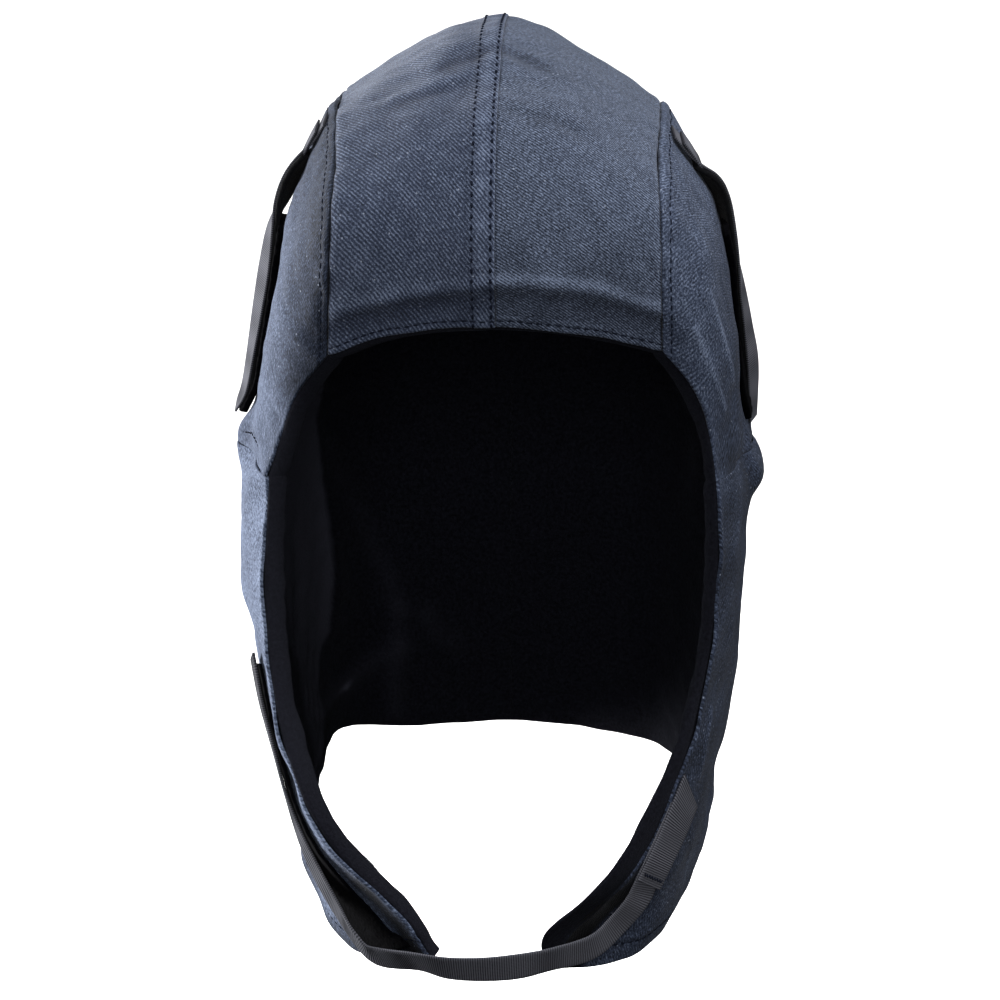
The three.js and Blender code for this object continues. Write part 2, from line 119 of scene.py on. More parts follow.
# The neck skirt from the girth seam to the hem: left face edge, right face edge, cheek, ear, rear,
# corner, nape, and how wide it is left and right
NECK = [
    ((92, -68, 0), (91.5, -68, 0), (103, -32, 0), (106, 12, 0), (99, 58, 0), (64, 100, 0),
     (0, 118, 0), (1, 1)),
    ((94, -68, -40), (92.5, -68, -40), (103, -34, -40), (105, 12, -40), (98, 58, -40), (64, 100, -40),
     (0, 115.5, -40), (1.03, 0.98)),
    ((92, -72, -82), (88, -72, -80), (100, -37, -81), (102, 9, -80), (96, 57, -78), (64, 98, -76),
     (0, 112.5, -75), (1.0, 0.985)),
    ((83, -83, -119), (77, -83, -118), (93, -45, -123), (97, 6, -120), (92, 56, -114), (64, 98, -110),
     (0, 113, -108), (0.95, 0.985)),
    ((62.5, -99, -150.5), (59.5, -101.5, -154.5), (82, -57, -157), (92, 1, -146), (88, 54, -137),
     (63, 97, -132), (0, 116, -130), (0.945, 0.985)),
    ((35.5, -110, -173), (33.5, -111, -178.5), (74, -63, -179), (90, -1, -162), (85, 55, -152), (62, 97, -148),
     (0, 118.5, -147), (0.955, 1)),
    ((23, -112, -189.5), (27, -112, -194), (67, -67, -195), (88, -3, -173), (83, 56, -163), (62, 97, -161),
     (0, 120, -161), (0.975, 1)),
]
# Folds and dents: from, to, reach, out, up
FOLDS = [
    ((-112, 10, -1), (-104, -10, 2), 10, 6.5, 0),
    ((-108, 8, -18), (-104, -10, -18), 8, -1, 0),
    ((110, 8, -15), (106, -12, -13), 8, 5, 0),
    ((107, 8, -3), (104, -12, -1), 9, 3, 0),
    ((-97, -12, 66), (-103, -18, 30), 24, -3, 0),
    ((104, -5, 55), (106, -15, 24), 24, -4.8, 0),
    ((-24, -20, 172), (-22, 45, 165), 22, 2.2, 0),
    ((68, -35, 140), (68, 45, 138), 32, 0, -4),
    ((-88, 80, -130), (-88, 80, -165), 34, 7, 8),
    ((-67, -84, 57), (-66, -84, 57), 20, 0, -3),
    ((86, -70, -115), (70, -86, -165), 15, 2.5, 0),
    ((-77, -82, -143), (-68, -86, -165), 15, 3, 0),
    ((-14, -60, 158), (14, -52, 162), 13, -2.5, 0),
    ((-20, 118, -70), (30, 116, -62), 26, -3, 0),
    ((-42, -98, -190), (-55, -82, -193), 14, 1.5, -3.5),
    ((45, -98, -192), (56, -84, -196), 14, 1, -3),
    ((77, -60, -152), (68, -70, -186), 18, 2.6, -0.5),
]


def spline(rows, share):
    """A smooth curve through rows of numbers, at shares of its length in rows."""
    rows = np.asarray(rows, float)
    place = np.clip(np.asarray(share, float), 0, 1) * (len(rows) - 1)
    i = np.minimum(place.astype(int), len(rows) - 2)
    f = (place - i)[..., None]
    padded = np.concatenate([[2 * rows[0] - rows[1]], rows, [2 * rows[-1] - rows[-2]]])
    return between(padded[i], padded[i + 1], padded[i + 2], padded[i + 3], f)


def between(a, b, c, d, f):
    """A place between b and c, at a share f, on the smooth curve through a, b, c and d."""
    return b + 0.5 * f * (c - a + f * (2 * a - 5 * b + 4 * c - d + f * (3 * (b - c) + d - a)))


def unit(v):
    """Vectors of length one."""
    return v / np.maximum(np.linalg.norm(v, axis=-1, keepdims=True), 1e-9)


def outward(p):
    """The way out of the hood at a place whose height is above the girth seam."""
    axis = np.stack([0 * p[..., 0], 0 * p[..., 0] + MIDDLE_Y, np.minimum(p[..., 2], MIDDLE_HEIGHT)], -1)
    return unit(p - axis)


def off_line(p, places):
    """How far places are from a line of straight stretches."""
    places = np.asarray(places, float)
    if len(places) == 1:
        return np.linalg.norm(p - places[0], axis=-1)
    nearest = np.full(p.shape[:-1], 1e9)
    for a, b in zip(places[:-1], places[1:]):
        t = np.clip((p - a) @ (b - a) / max((b - a) @ (b - a), 1e-9), 0, 1)
        nearest = np.minimum(nearest, np.linalg.norm(p - a - t[..., None] * (b - a), axis=-1))
    return nearest


def step_up(d, start, end):
    """Nought before the start, one after the end, smooth between them."""
    t = np.clip((d - start) / (end - start), 0, 1)
    return t * t * (3 - 2 * t)


def folded(p):
    """Adds the girth seam's pinch and the main folds, and moves a place under the seat."""
    out = -PINCH_DEPTH * np.exp(-((p[..., 2] / PINCH_REACH) ** 2)) * step_up(p[..., 1], *UNPINCHED)
    up = 0 * out
    for start, end, reach, rise, lift in FOLDS:
        share = np.exp(-((off_line(p, [start, end]) / reach) ** 2))
        out = out + rise * share
        up = up + lift * share
    moved = p + outward(p) * out[..., None]
    moved[..., 2] += up + GIRTH
    return moved


def crown_raw(t, s):
    """Crown band: t from brow to girth seam, s from -1 at the left seam to 1 at the right one."""
    t, s = np.broadcast_arrays(np.asarray(t, float), np.asarray(s, float))
    row = spline(CROWN, t)
    bow = np.abs(s) ** row[..., 5]
    x = row[..., 2] * s * np.where(s < 0, row[..., 6], row[..., 7])
    y = row[..., 0] + (row[..., 3] - row[..., 0]) * bow
    height = row[..., 1] + (row[..., 4] - row[..., 1]) * bow
    return np.stack([x, y, height], -1)


def neck_raw(side, u, w):
    """Neck skirt: u from 0 at the face edge to 1 at the nape, w from the girth seam to the hem."""
    u, w = np.broadcast_arrays(np.asarray(u, float), np.asarray(w, float))
    own = 0 if side < 0 else 1
    places = np.stack([spline([row[k] for row in NECK], w) for k in (own, 2, 3, 4, 5, 6)], 0)
    places[1:, ..., 0] *= spline([row[7] for row in NECK], w)[..., own]
    spans = len(places) - 1
    i = np.minimum((u * spans).astype(int), spans - 1)
    f = (u * spans - i)[..., None]
    padded = np.concatenate([[2 * places[0] - places[1]], places, [2 * places[-1] - places[-2]]])
    near = [np.take_along_axis(padded, (i + k)[None, ..., None], 0)[0] for k in range(4)]
    front = between(*near, f)
    corner, nape = places[-2], places[-1]
    s = np.clip((1 - u) / (1 - CORNER), 0, 1)[..., None]
    rest = nape[..., 1:] + (corner[..., 1:] - nape[..., 1:]) * s**ROUND_NAPE
    back = np.concatenate([corner[..., :1] * s, rest], -1)
    return np.where((u > CORNER)[..., None], back, front) * np.array([side, 1, 1])


def side_raw(side, u, v):
    """Side panel: u back from the face edge, v down from the crown seam to the girth seam."""
    u, v = np.broadcast_arrays(np.asarray(u, float), np.asarray(v, float))
    row = spline(TEMPLE_EDGE, v)
    front = np.stack([side * (row[..., 1] if side < 0 else row[..., 2]), row[..., 3], row[..., 0]], -1)
    top = crown_raw(OCCIPUT * u, side + 0 * u)
    back = crown_raw(OCCIPUT + (1 - OCCIPUT) * v, side + 0 * v)
    low = neck_raw(side, CORNER * u, 0 * v)
    corners = [crown_raw(0, side), crown_raw(OCCIPUT, side), neck_raw(side, 0, 0), neck_raw(side, CORNER, 0)]
    a, b = u[..., None], v[..., None]
    place = (1 - b) * top + b * low + (1 - a) * front + a * back
    place = place - (1 - a) * (1 - b) * corners[0] - a * (1 - b) * corners[1]
    place = place - (1 - a) * b * corners[2] - a * b * corners[3]
    bulge = np.sin(np.pi * u) ** BULGE_ROUND * np.sin(np.pi * v**BULGE_HIGH)
    place[..., 0] += side * SIDE_BULGE[side] * bulge
    return place


def lengths(place, axis):
    """Cloth length from the first row or column of a grid of places."""
    step = np.linalg.norm(np.diff(place, axis=axis), axis=-1)
    total = np.cumsum(step, axis=axis)
    first = np.zeros_like(np.take(total, [0], axis=axis))
    return np.concatenate([first, total], axis=axis)


def normals(place, out):
    """The outward normals of a grid of places."""
    normal = unit(np.cross(np.gradient(place, axis=0), np.gradient(place, axis=1)))
    return normal * np.where((normal * out).sum(-1) < 0, -1, 1)[..., None]


FINEST = 0.35            # the narrowest strip at a panel's edge, and how much wider each next one is
WIDER = 1.22


def marks(length, step, fine_low=True, fine_high=True):
    """Shares of a length, close together at the ends that are turned or sewn."""
    growing = []
    size = FINEST
    while size < step:
        growing.append(size)
        size *= WIDER
    low = growing if fine_low else []
    high = growing[::-1] if fine_high else []
    middle = max(length - sum(low) - sum(high), step)
    count = max(2, round(middle / step))
    places = np.cumsum([0, *low, *([middle / count] * count), *high])
    return places / places[-1]


def waves(p, size, seed, count=9):
    """Smooth, even unrest of about one, with waves about as long as size."""
    draw = np.random.default_rng(seed)
    way = unit(draw.normal(size=(count, 3)))
    pace = 2 * np.pi / size * draw.uniform(0.7, 1.4, count)
    phase = draw.uniform(0, 2 * np.pi, count)
    return np.sin(p @ (way * pace[:, None]).T + phase).sum(-1) / math.sqrt(count / 2)


def bump(d, middle, width):
    """One where a distance is the middle, fading to nothing over a width or two."""
    return np.exp(-(((d - middle) / width) ** 2))


def turned(d, radius):
    """How far a rounded edge drops away within its radius."""
    inside = np.clip(radius - d, 0, radius)
    return np.sqrt(np.maximum(radius**2 - inside**2, 0)) - radius


class Cloth:
    """A panel on a grid of places, with its normals, its cloth lengths and how far detail lifts it."""

    def __init__(self, raw):
        self.raw = raw
        self.base = folded(raw)
        self.out = outward(self.base - np.array([0, 0, GIRTH]))
        self.normal = normals(self.base, self.out)
        self.down = lengths(self.base, 0)
        self.over = lengths(self.base, 1)
        self.up = self.down[-1:] - self.down
        self.back = self.over[:, -1:] - self.over
        self.lift = np.zeros(raw.shape[:2])
        # painted light and shade, with tone that differs at random; it goes into the twill's colour
        self.shade = np.zeros(raw.shape[:2])

    def place(self):
        return self.base + self.normal * self.lift[..., None]

    def crease(self, places, width, rise, light):
        share = np.exp(-((off_line(self.raw, places) / width) ** 2))
        self.lift += rise * share
        # light paints the crease paler, or darker where it is negative
        self.shade += light * share

    def line(self, measure, offset, along=0, lift=0.0):
        """Places and normals where a cloth length has a value: one a row, or with along 1 one a column."""
        place = self.place()
        normal = normals(place, self.out)
        if along == 1:
            place, normal, measure = place.swapaxes(0, 1), normal.swapaxes(0, 1), measure.T
        found = []
        facing = []
        for row in range(place.shape[0]):
            order = np.argsort(measure[row], kind="stable")
            at = np.interp(offset, measure[row][order], order.astype(float))
            i = int(min(at, place.shape[1] - 2))
            f = at - i
            found.append(place[row, i] * (1 - f) + place[row, i + 1] * f)
            facing.append(normal[row, i] * (1 - f) + normal[row, i + 1] * f)
        facing = unit(np.array(facing))
        return np.array(found) + facing * lift, facing


def add_piece(name, mesh, material):
    """A piece of the hood, with its material."""
    piece = bpy.data.objects.new(name, mesh)
    bpy.context.scene.collection.objects.link(piece)
    mesh.materials.append(material)
    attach(piece, "root")
    return piece


def grid_mesh(name, place, uv, shades, out=None):
    """A grid of squares laid on places, with its flat lengths in millimetres as its UV map.

    Shades make its cloth paler or darker through a colour attribute: mostly painted light and shade, with tone
    that differs at random. Where out is given, its faces are turned that way.
    """
    rows, columns = place.shape[:2]
    bm = bmesh.new()
    bmesh.ops.create_grid(bm, x_segments=rows - 1, y_segments=columns - 1, size=1)
    mesh = bpy.data.meshes.new(name)
    bm.to_mesh(mesh)
    bm.free()
    flat = np.empty(len(mesh.vertices) * 3)
    mesh.vertices.foreach_get("co", flat)
    flat = flat.reshape(-1, 3)
    i = np.rint((flat[:, 0] + 1) / 2 * (rows - 1)).astype(int)
    j = np.rint((flat[:, 1] + 1) / 2 * (columns - 1)).astype(int)
    mesh.vertices.foreach_set("co", (place[i, j] * MM).ravel())
    corner = np.empty(len(mesh.loops), dtype=np.int32)
    mesh.loops.foreach_get("vertex_index", corner)
    layer = mesh.uv_layers.new(name="flat")
    layer.data.foreach_set("uv", uv[i[corner], j[corner]].ravel())
    # this attribute carries painted light and shade, with tone that differs at random
    colour = mesh.color_attributes.new("tone_and_painted_light", "FLOAT_COLOR", "POINT")
    value = shades[i, j]
    colour.data.foreach_set("color", np.stack([value, value, value, 0 * value + 1], -1).ravel())
    mesh.shade_smooth()
    mesh.update()
    if out is not None:
        facing = np.empty(len(mesh.polygons) * 3)
        mesh.polygons.foreach_get("normal", facing)
        first = np.array([p.vertices[0] for p in mesh.polygons])
        if (facing.reshape(-1, 3) * out[i[first], j[first]]).sum() < 0:
            mesh.flip_normals()
    return mesh


# Materials
def linear(colour):
    """A linear colour from an sRGB hex value."""
    parts = [int(colour[k : k + 2], 16) / 255 for k in (1, 3, 5)]
    return [c / 12.92 if c <= 0.04045 else ((c + 0.055) / 1.055) ** 2.4 for c in parts] + [1]


def add_node(tree, kind, inputs=None, **settings):
    """Adds a node, sets its options, and sets or links its inputs."""
    node = tree.nodes.new(kind)
    for name, value in settings.items():
        setattr(node, name, value)
    for name, value in (inputs or {}).items():
        if isinstance(value, bpy.types.NodeSocket):
            tree.links.new(value, node.inputs[name])
        else:
            node.inputs[name].default_value = value
    return node


def new_material(name, base, settings):
    """A material with its colour and its shader's settings, its node tree and its shader."""
    material = bpy.data.materials.new(name)
    material.use_nodes = True
    tree = material.node_tree
    shader = tree.nodes["Principled BSDF"]
    shader.inputs["Base Color"].default_value = linear(base)
    for key, value in settings.items():
        shader.inputs[key].default_value = value
    return material, tree, shader


WAVE_PERIOD = 0.314   # a wave texture of scale 1 repeats at this length


def brushed_twill(name, angle, pitch, ribbing, grain, coarse=1.0, hue="#343b4a", sheen=0.12):
    """Brushed cotton twill: short fuzz over steep diagonal ribs, navy, matt, with painted light and shade from
    its colour attribute.

    Its speckle of pale and dark yarns is drawn at 0.5 mm, a little coarser than the thread, and
    coarse makes it larger still on the panels that the camera sees edge on.
    """
    material, tree, shader = new_material(
        name, hue, {"Roughness": 0.9, "Sheen Weight": sheen, "Sheen Roughness": 0.35,
                    "Sheen Tint": linear("#e4e8f2"), "Specular IOR Level": 0.15}
    )
    flat = add_node(tree, "ShaderNodeUVMap", uv_map="flat").outputs["UV"]
    place = add_node(tree, "ShaderNodeTexCoord").outputs["Object"]
    turn = add_node(tree, "ShaderNodeMapping", {"Vector": flat, "Rotation": (0, 0, math.radians(angle - 90))})
    ribs = add_node(
        tree,
        "ShaderNodeTexWave",
        {"Vector": turn.outputs[0], "Scale": WAVE_PERIOD / pitch, "Distortion": 1.6, "Detail": 2.0,
         "Detail Scale": 1.4},
        bands_direction="X",
    )
    strands = add_node(
        tree, "ShaderNodeMapping", {"Vector": turn.outputs[0], "Scale": (1.5 / coarse, 0.7 / coarse, 1)}
    )
    yarn = add_node(
        tree,
        "ShaderNodeTexNoise",
        {"Vector": strands.outputs[0], "Scale": 1.0, "Detail": 2.0, "Roughness": 0.75},
    )
    fuzz = add_node(
        tree,
        "ShaderNodeTexNoise",
        {"Vector": place, "Scale": 1500.0 / coarse, "Detail": 1.0, "Roughness": 0.5},
    )
    cloud = add_node(
        tree, "ShaderNodeTexNoise", {"Vector": place, "Scale": 140.0, "Detail": 4.0, "Roughness": 0.65}
    )
    tone_and_painted_light = add_node(tree, "ShaderNodeAttribute", attribute_name="tone_and_painted_light").outputs["Fac"]
    tone = add_node(
        tree,
        "ShaderNodeMath",
        {0: ribs.outputs["Fac"], 1: ribbing, 2: 0.5 - ribbing / 2},
        operation="MULTIPLY_ADD",
    )
    for layer, strength in ((yarn, grain), (fuzz, 0.6), (cloud, 0.34)):
        part = add_node(tree, "ShaderNodeMath", {0: layer.outputs["Fac"], 1: 0.5}, operation="SUBTRACT")
        tone = add_node(
            tree,
            "ShaderNodeMath",
            {0: part.outputs[0], 1: strength, 2: tone.outputs[0]},
            operation="MULTIPLY_ADD",
        )
    # the colour attribute adds painted light and shade to the weave's tone, with tone that differs at random
    with_painted_light = add_node(
        tree, "ShaderNodeMath", {0: tone.outputs[0], 1: tone_and_painted_light}, operation="ADD", use_clamp=True
    )
    ramp = add_node(tree, "ShaderNodeValToRGB", {"Fac": with_painted_light.outputs[0]})
    ramp.color_ramp.elements[0].position = 0.0
    ramp.color_ramp.elements[0].color = linear("#10141d")
    ramp.color_ramp.elements[1].position = 1.0
    ramp.color_ramp.elements[1].color = linear("#6c778d")
    middle = ramp.color_ramp.elements.new(0.5)
    middle.color = linear(hue)
    # lint caught in the nap
    lint = add_node(tree, "ShaderNodeTexVoronoi", {"Vector": place, "Scale": 260.0})
    near = add_node(
        tree,
        "ShaderNodeMapRange",
        {"Value": lint.outputs["Distance"], "From Min": 0.05, "From Max": 0.13, "To Min": 0.65, "To Max": 0.0},
    )
    some = add_node(
        tree, "ShaderNodeMath", {0: lint.outputs["Color"], 1: 0.56}, operation="GREATER_THAN"
    )
    speck = add_node(
        tree, "ShaderNodeMath", {0: near.outputs[0], 1: some.outputs[0]}, operation="MULTIPLY"
    )
    flecked = add_node(
        tree,
        "ShaderNodeMix",
        {"Factor": speck.outputs[0], 6: ramp.outputs[0], 7: linear("#8b93a4")},
        data_type="RGBA",
    )
    # the nap is near black where the strap and its pad keep the light off it
    deep = add_node(
        tree,
        "ShaderNodeMapRange",
        {"Value": tone_and_painted_light, "From Min": -0.45, "From Max": -0.95, "To Min": 0.0, "To Max": 1.0},
    )
    shaded = add_node(
        tree,
        "ShaderNodeMix",
        {"Factor": deep.outputs[0], 6: flecked.outputs[2], 7: linear("#020204")},
        data_type="RGBA",
    )
    tree.links.new(shaded.outputs[2], shader.inputs["Base Color"])
    rise = add_node(tree, "ShaderNodeBump", {"Height": tone.outputs[0], "Strength": 0.5, "Distance": 0.0005})
    tree.links.new(rise.outputs[0], shader.inputs["Normal"])
    return material


def fleece():
    """Brushed fleece: a near-black pile that swallows light, with small soft clumps."""
    material, tree, shader = new_material(
        "brushed_fleece", "#0e0e13", {"Roughness": 1.0, "Sheen Weight": 0.05, "Sheen Roughness": 0.5,
                                      "Sheen Tint": linear("#9aa0b4"), "Specular IOR Level": 0.05}
    )
    place = add_node(tree, "ShaderNodeTexCoord").outputs["Object"]
    clump = add_node(
        tree, "ShaderNodeTexNoise", {"Vector": place, "Scale": 700.0, "Detail": 4.0, "Roughness": 0.8}
    )
    ramp = add_node(tree, "ShaderNodeValToRGB", {"Fac": clump.outputs["Fac"]})
    ramp.color_ramp.elements[0].position = 0.36
    ramp.color_ramp.elements[0].color = linear("#040408")
    ramp.color_ramp.elements[1].position = 0.7
    ramp.color_ramp.elements[1].color = linear("#15161d")
    # the colour attribute paints the fold that faces the light and the sharp ridges paler, as painted light,
    # and the face edge a little paler
    tone_and_painted_light = add_node(tree, "ShaderNodeAttribute", attribute_name="tone_and_painted_light").outputs["Fac"]
    with_painted_light = add_node(
        tree,
        "ShaderNodeMix",
        {"Factor": tone_and_painted_light, 6: ramp.outputs[0], 7: linear("#3a3b45")},
        data_type="RGBA",
        clamp_factor=True,
    )
    tree.links.new(with_painted_light.outputs[2], shader.inputs["Base Color"])
    rise = add_node(
        tree, "ShaderNodeBump", {"Height": clump.outputs["Fac"], "Strength": 0.6, "Distance": 0.0012}
    )
    tree.links.new(rise.outputs[0], shader.inputs["Normal"])
    return material


def woven_webbing():
    """Woven cotton webbing: charcoal, matt, with fine ribs across it."""
    material, tree, shader = new_material(
        "woven_webbing", "#34353a", {"Roughness": 0.85, "Specular IOR Level": 0.12}
    )
    flat = add_node(tree, "ShaderNodeUVMap", uv_map="flat").outputs["UV"]
    ribs = add_node(
        tree,
        "ShaderNodeTexWave",
        {"Vector": flat, "Scale": WAVE_PERIOD / 0.95, "Distortion": 0.6, "Detail": 1.0},
        bands_direction="X",
    )
    yarn = add_node(
        tree,
        "ShaderNodeTexWave",
        {"Vector": flat, "Scale": WAVE_PERIOD / 0.7, "Distortion": 0.8, "Detail": 1.0},
        bands_direction="Y",
    )
    both = add_node(
        tree,
        "ShaderNodeMix",
        {"Factor": 0.25, 2: ribs.outputs["Fac"], 3: yarn.outputs["Fac"]},
        data_type="FLOAT",
    )
    # the colour attribute paints the webbing paler at one end and darker at the other: painted light and shade
    tone_and_painted_light = add_node(tree, "ShaderNodeAttribute", attribute_name="tone_and_painted_light").outputs["Fac"]
    with_painted_light = add_node(tree, "ShaderNodeMath", {0: both.outputs[0], 1: tone_and_painted_light}, operation="ADD", use_clamp=True)
    ramp = add_node(tree, "ShaderNodeValToRGB", {"Fac": with_painted_light.outputs[0]})
    ramp.color_ramp.elements[0].color = linear("#15161b")
    ramp.color_ramp.elements[1].color = linear("#5d5e66")
    tree.links.new(ramp.outputs[0], shader.inputs["Base Color"])
    rise = add_node(tree, "ShaderNodeBump", {"Height": both.outputs[0], "Strength": 0.4, "Distance": 0.0003})
    tree.links.new(rise.outputs[0], shader.inputs["Normal"])
    return material


def hook_tape(name, grain, low="#020203", high="#0b0c10", shine=0.08):
    """Nylon fastening tape: black, closely set with hooks or with loops of pile."""
    material, tree, shader = new_material(
        name, high, {"Roughness": 0.95, "Sheen Weight": 0.3 * shine, "Sheen Roughness": 0.5,
                     "Specular IOR Level": shine}
    )
    place = add_node(tree, "ShaderNodeTexCoord").outputs["Object"]
    pile = add_node(
        tree, "ShaderNodeTexNoise", {"Vector": place, "Scale": grain, "Detail": 2.0, "Roughness": 0.6}
    )
    ramp = add_node(tree, "ShaderNodeValToRGB", {"Fac": pile.outputs["Fac"]})
    ramp.color_ramp.elements[0].position = 0.35
    ramp.color_ramp.elements[0].color = linear(low)
    ramp.color_ramp.elements[1].position = 0.72
    ramp.color_ramp.elements[1].color = linear(high)
    tree.links.new(ramp.outputs[0], shader.inputs["Base Color"])
    rise = add_node(
        tree, "ShaderNodeBump", {"Height": pile.outputs["Fac"], "Strength": 0.7, "Distance": 0.0006}
    )
    tree.links.new(rise.outputs[0], shader.inputs["Normal"])
    return material


def sewing_thread():
    """Spun sewing thread: navy, a touch darker than the cloth, twisted."""
    material, tree, shader = new_material(
        "sewing_thread", "#1a2033", {"Roughness": 0.9, "Specular IOR Level": 0.08}
    )
    place = add_node(tree, "ShaderNodeTexCoord").outputs["Object"]
    twist = add_node(tree, "ShaderNodeTexNoise", {"Vector": place, "Scale": 1500.0, "Detail": 1.0})
    ramp = add_node(tree, "ShaderNodeValToRGB", {"Fac": twist.outputs["Fac"]})
    ramp.color_ramp.elements[0].color = linear("#06080e")
    ramp.color_ramp.elements[1].color = linear("#141a2a")
    tree.links.new(ramp.outputs[0], shader.inputs["Base Color"])
    return material


TWILL_CROWN = {
    -1: brushed_twill("brushed_twill_left", angle=52, pitch=1.34, ribbing=0.36, grain=1.2, hue="#2d3445"),
    1: brushed_twill("brushed_twill_right", angle=31, pitch=1.1, ribbing=0.45, grain=1.75),
}
TWILL_SIDE = brushed_twill(
    "brushed_twill_side", angle=128, pitch=1.3, ribbing=0.2, grain=1.9, coarse=1.25, hue="#333b4d", sheen=0.05
)
FLEECE_PILE = fleece()
WEBBING = woven_webbing()
HOOKS = hook_tape("hook_tape", grain=1300.0)
LOOPS = hook_tape("loop_pad", grain=900.0, low="#000001", high="#050508", shine=0.02)
THREAD = sewing_thread()


def wall(piece, thick):
    """Gives a sheet its thickness, inwards from the face that shows."""
    solid = piece.modifiers.new("thickness", "SOLIDIFY")
    solid.thickness = thick * MM
    solid.offset = -1
    solid.use_rim = True
    return piece


def seam_edge(cloth, d):
    """The rounded, pulled-in edge of a panel at a seam."""
    cloth.lift += turned(d, 0.8) - 0.6 * bump(d, 0, 1.8)
    # painted shade in the seam's line, with a painted highlight just beside it
    cloth.shade -= 0.3 * bump(d, 0, 0.8)
    cloth.shade += 0.08 * bump(d, 1.3, 0.6)


def stitched(cloth, d, offset, depth, puff):
    """The groove of a stitch row, with the cloth puffed up beside it."""
    cloth.lift += -depth * bump(d, offset, 0.75) + puff * bump(d, offset + 2.2, 1.4)
    # painted shade in the groove
    cloth.shade -= 0.07 * bump(d, offset, 0.6)


stitch_rows = []


def sew(name, line, pitch=3.8, length=2.6, thick=0.8):
    """Notes a row of stitches, which make_stitches sews at the end."""
    stitch_rows.append((name, line, pitch, length, thick))


# Lengths that set how finely the panels are divided
CROWN_LONG = 430
CROWN_HALF = 72
SIDE_LONG = 270
SIDE_HIGH = 128
NECK_ROUND = 262
NECK_HIGH = 178
CROWN_STEP = 1.25
SIDE_STEP = 1.35
NECK_STEP = 1.4
FLEECE_STEP = 2.4
FINE_FLEECE_STEP = 1.6   # for the left half of the skirt, whose inside faces the camera

# Where the stitch rows are, from the edge or seam beside them
BROW_ROW = 3.3
GIRTH_ROW = 7
SEAM_ROW = 5.8
HEM_ROW = 9
BAND_EDGE = 0.036        # the felled seam's free edge, right of the middle, as a share of the half width
BAND_WIDTH = 9.6
CENTRE_ROW = 1.7         # its two stitch rows, from that edge
BAND_ROW = BAND_WIDTH - 0.6
PUCKER = 14              # from one pucker of that seam to the next
TONE_UNREST = 0.05

# The brow's crease: a ridge, its upper edge painted bright and the hollow below painted dark, as painted
# highlight and painted shade. Back, up, width, rise, light
CREASE_BAND = [(-61, -91, 76), (-34, -98, 84), (-3, -102, 90), (20, -101, 90), (43, -97, 86), (68, -90, 77)]
CREASE_PARTS = {
    -1: [(-0.7, -3, 3.2, 0.9, 0), (0.1, 0.5, 2.6, 0, 0.13), (-2, -9, 6.5, -0.8, -0.14)],
    1: [(-0.7, -3, 3.2, 0.9, 0), (0.1, 0.5, 2.6, 0, 0.31), (-2, -9, 6.5, -0.8, -0.14)],
}
# The smaller creases: places, width, rise, light. Light is painted highlight and painted shade on the folds
# and dents
CROWN_CREASES = [
    ([(-15, -32, 167), (18, -23, 167)], 4, -0.8, 0),
    ([(3, -70, 150), (15, -72, 149), (33, -70, 142)], 3.5, -0.9, -0.12),
    ([(-40, -45, 151), (-26, -49, 157), (-12, -49, 161)], 4, 0.9, 0.06),
    ([(-40, -50, 147), (-26, -54, 153), (-13, -54, 157)], 3, -0.5, -0.12),
    ([(-19, -38, 165), (-6, -38, 167)], 5.2, -1.4, -0.17),
    ([(6, -35, 168), (20, -37, 164)], 5.2, -1.4, -0.15),
]
SIDE_CREASES = {
    -1: [([(-80, -71, 69), (-76, -77, 63)], 3.5, 0.7, 0)],
    1: [
        ([(85, -74, 79), (91, -68, 62), (93, -63, 51), (96, -56, 39)], 1.6, 0.7, 0.42),
        ([(80, -81, 66), (84, -76, 55), (89, -69, 40), (93, -63, 29)], 1.6, 0.7, 0.42),
    ],
}
NECK_CREASES = {
    -1: [],
    1: [
        ([(88, -64, -98), (86, -69, -108), (84, -68, -125)], 1.8, 0.6, 0.2),
        ([(80, -70, -145), (80, -57, -161), (78, -56, -174)], 1.8, 0.6, 0.2),
    ],
}


def twill_panel(cloth, node, uv, twill):
    """Makes a panel from its cloth, in place of its CAD node."""
    mesh = grid_mesh(f"{node}_twill", cloth.place(), uv, cloth.shade, out=cloth.out)
    piece = wall(add_piece(f"{node}_twill", mesh, twill), TWILL_SHEET)
    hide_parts(node)
    cloth.place()


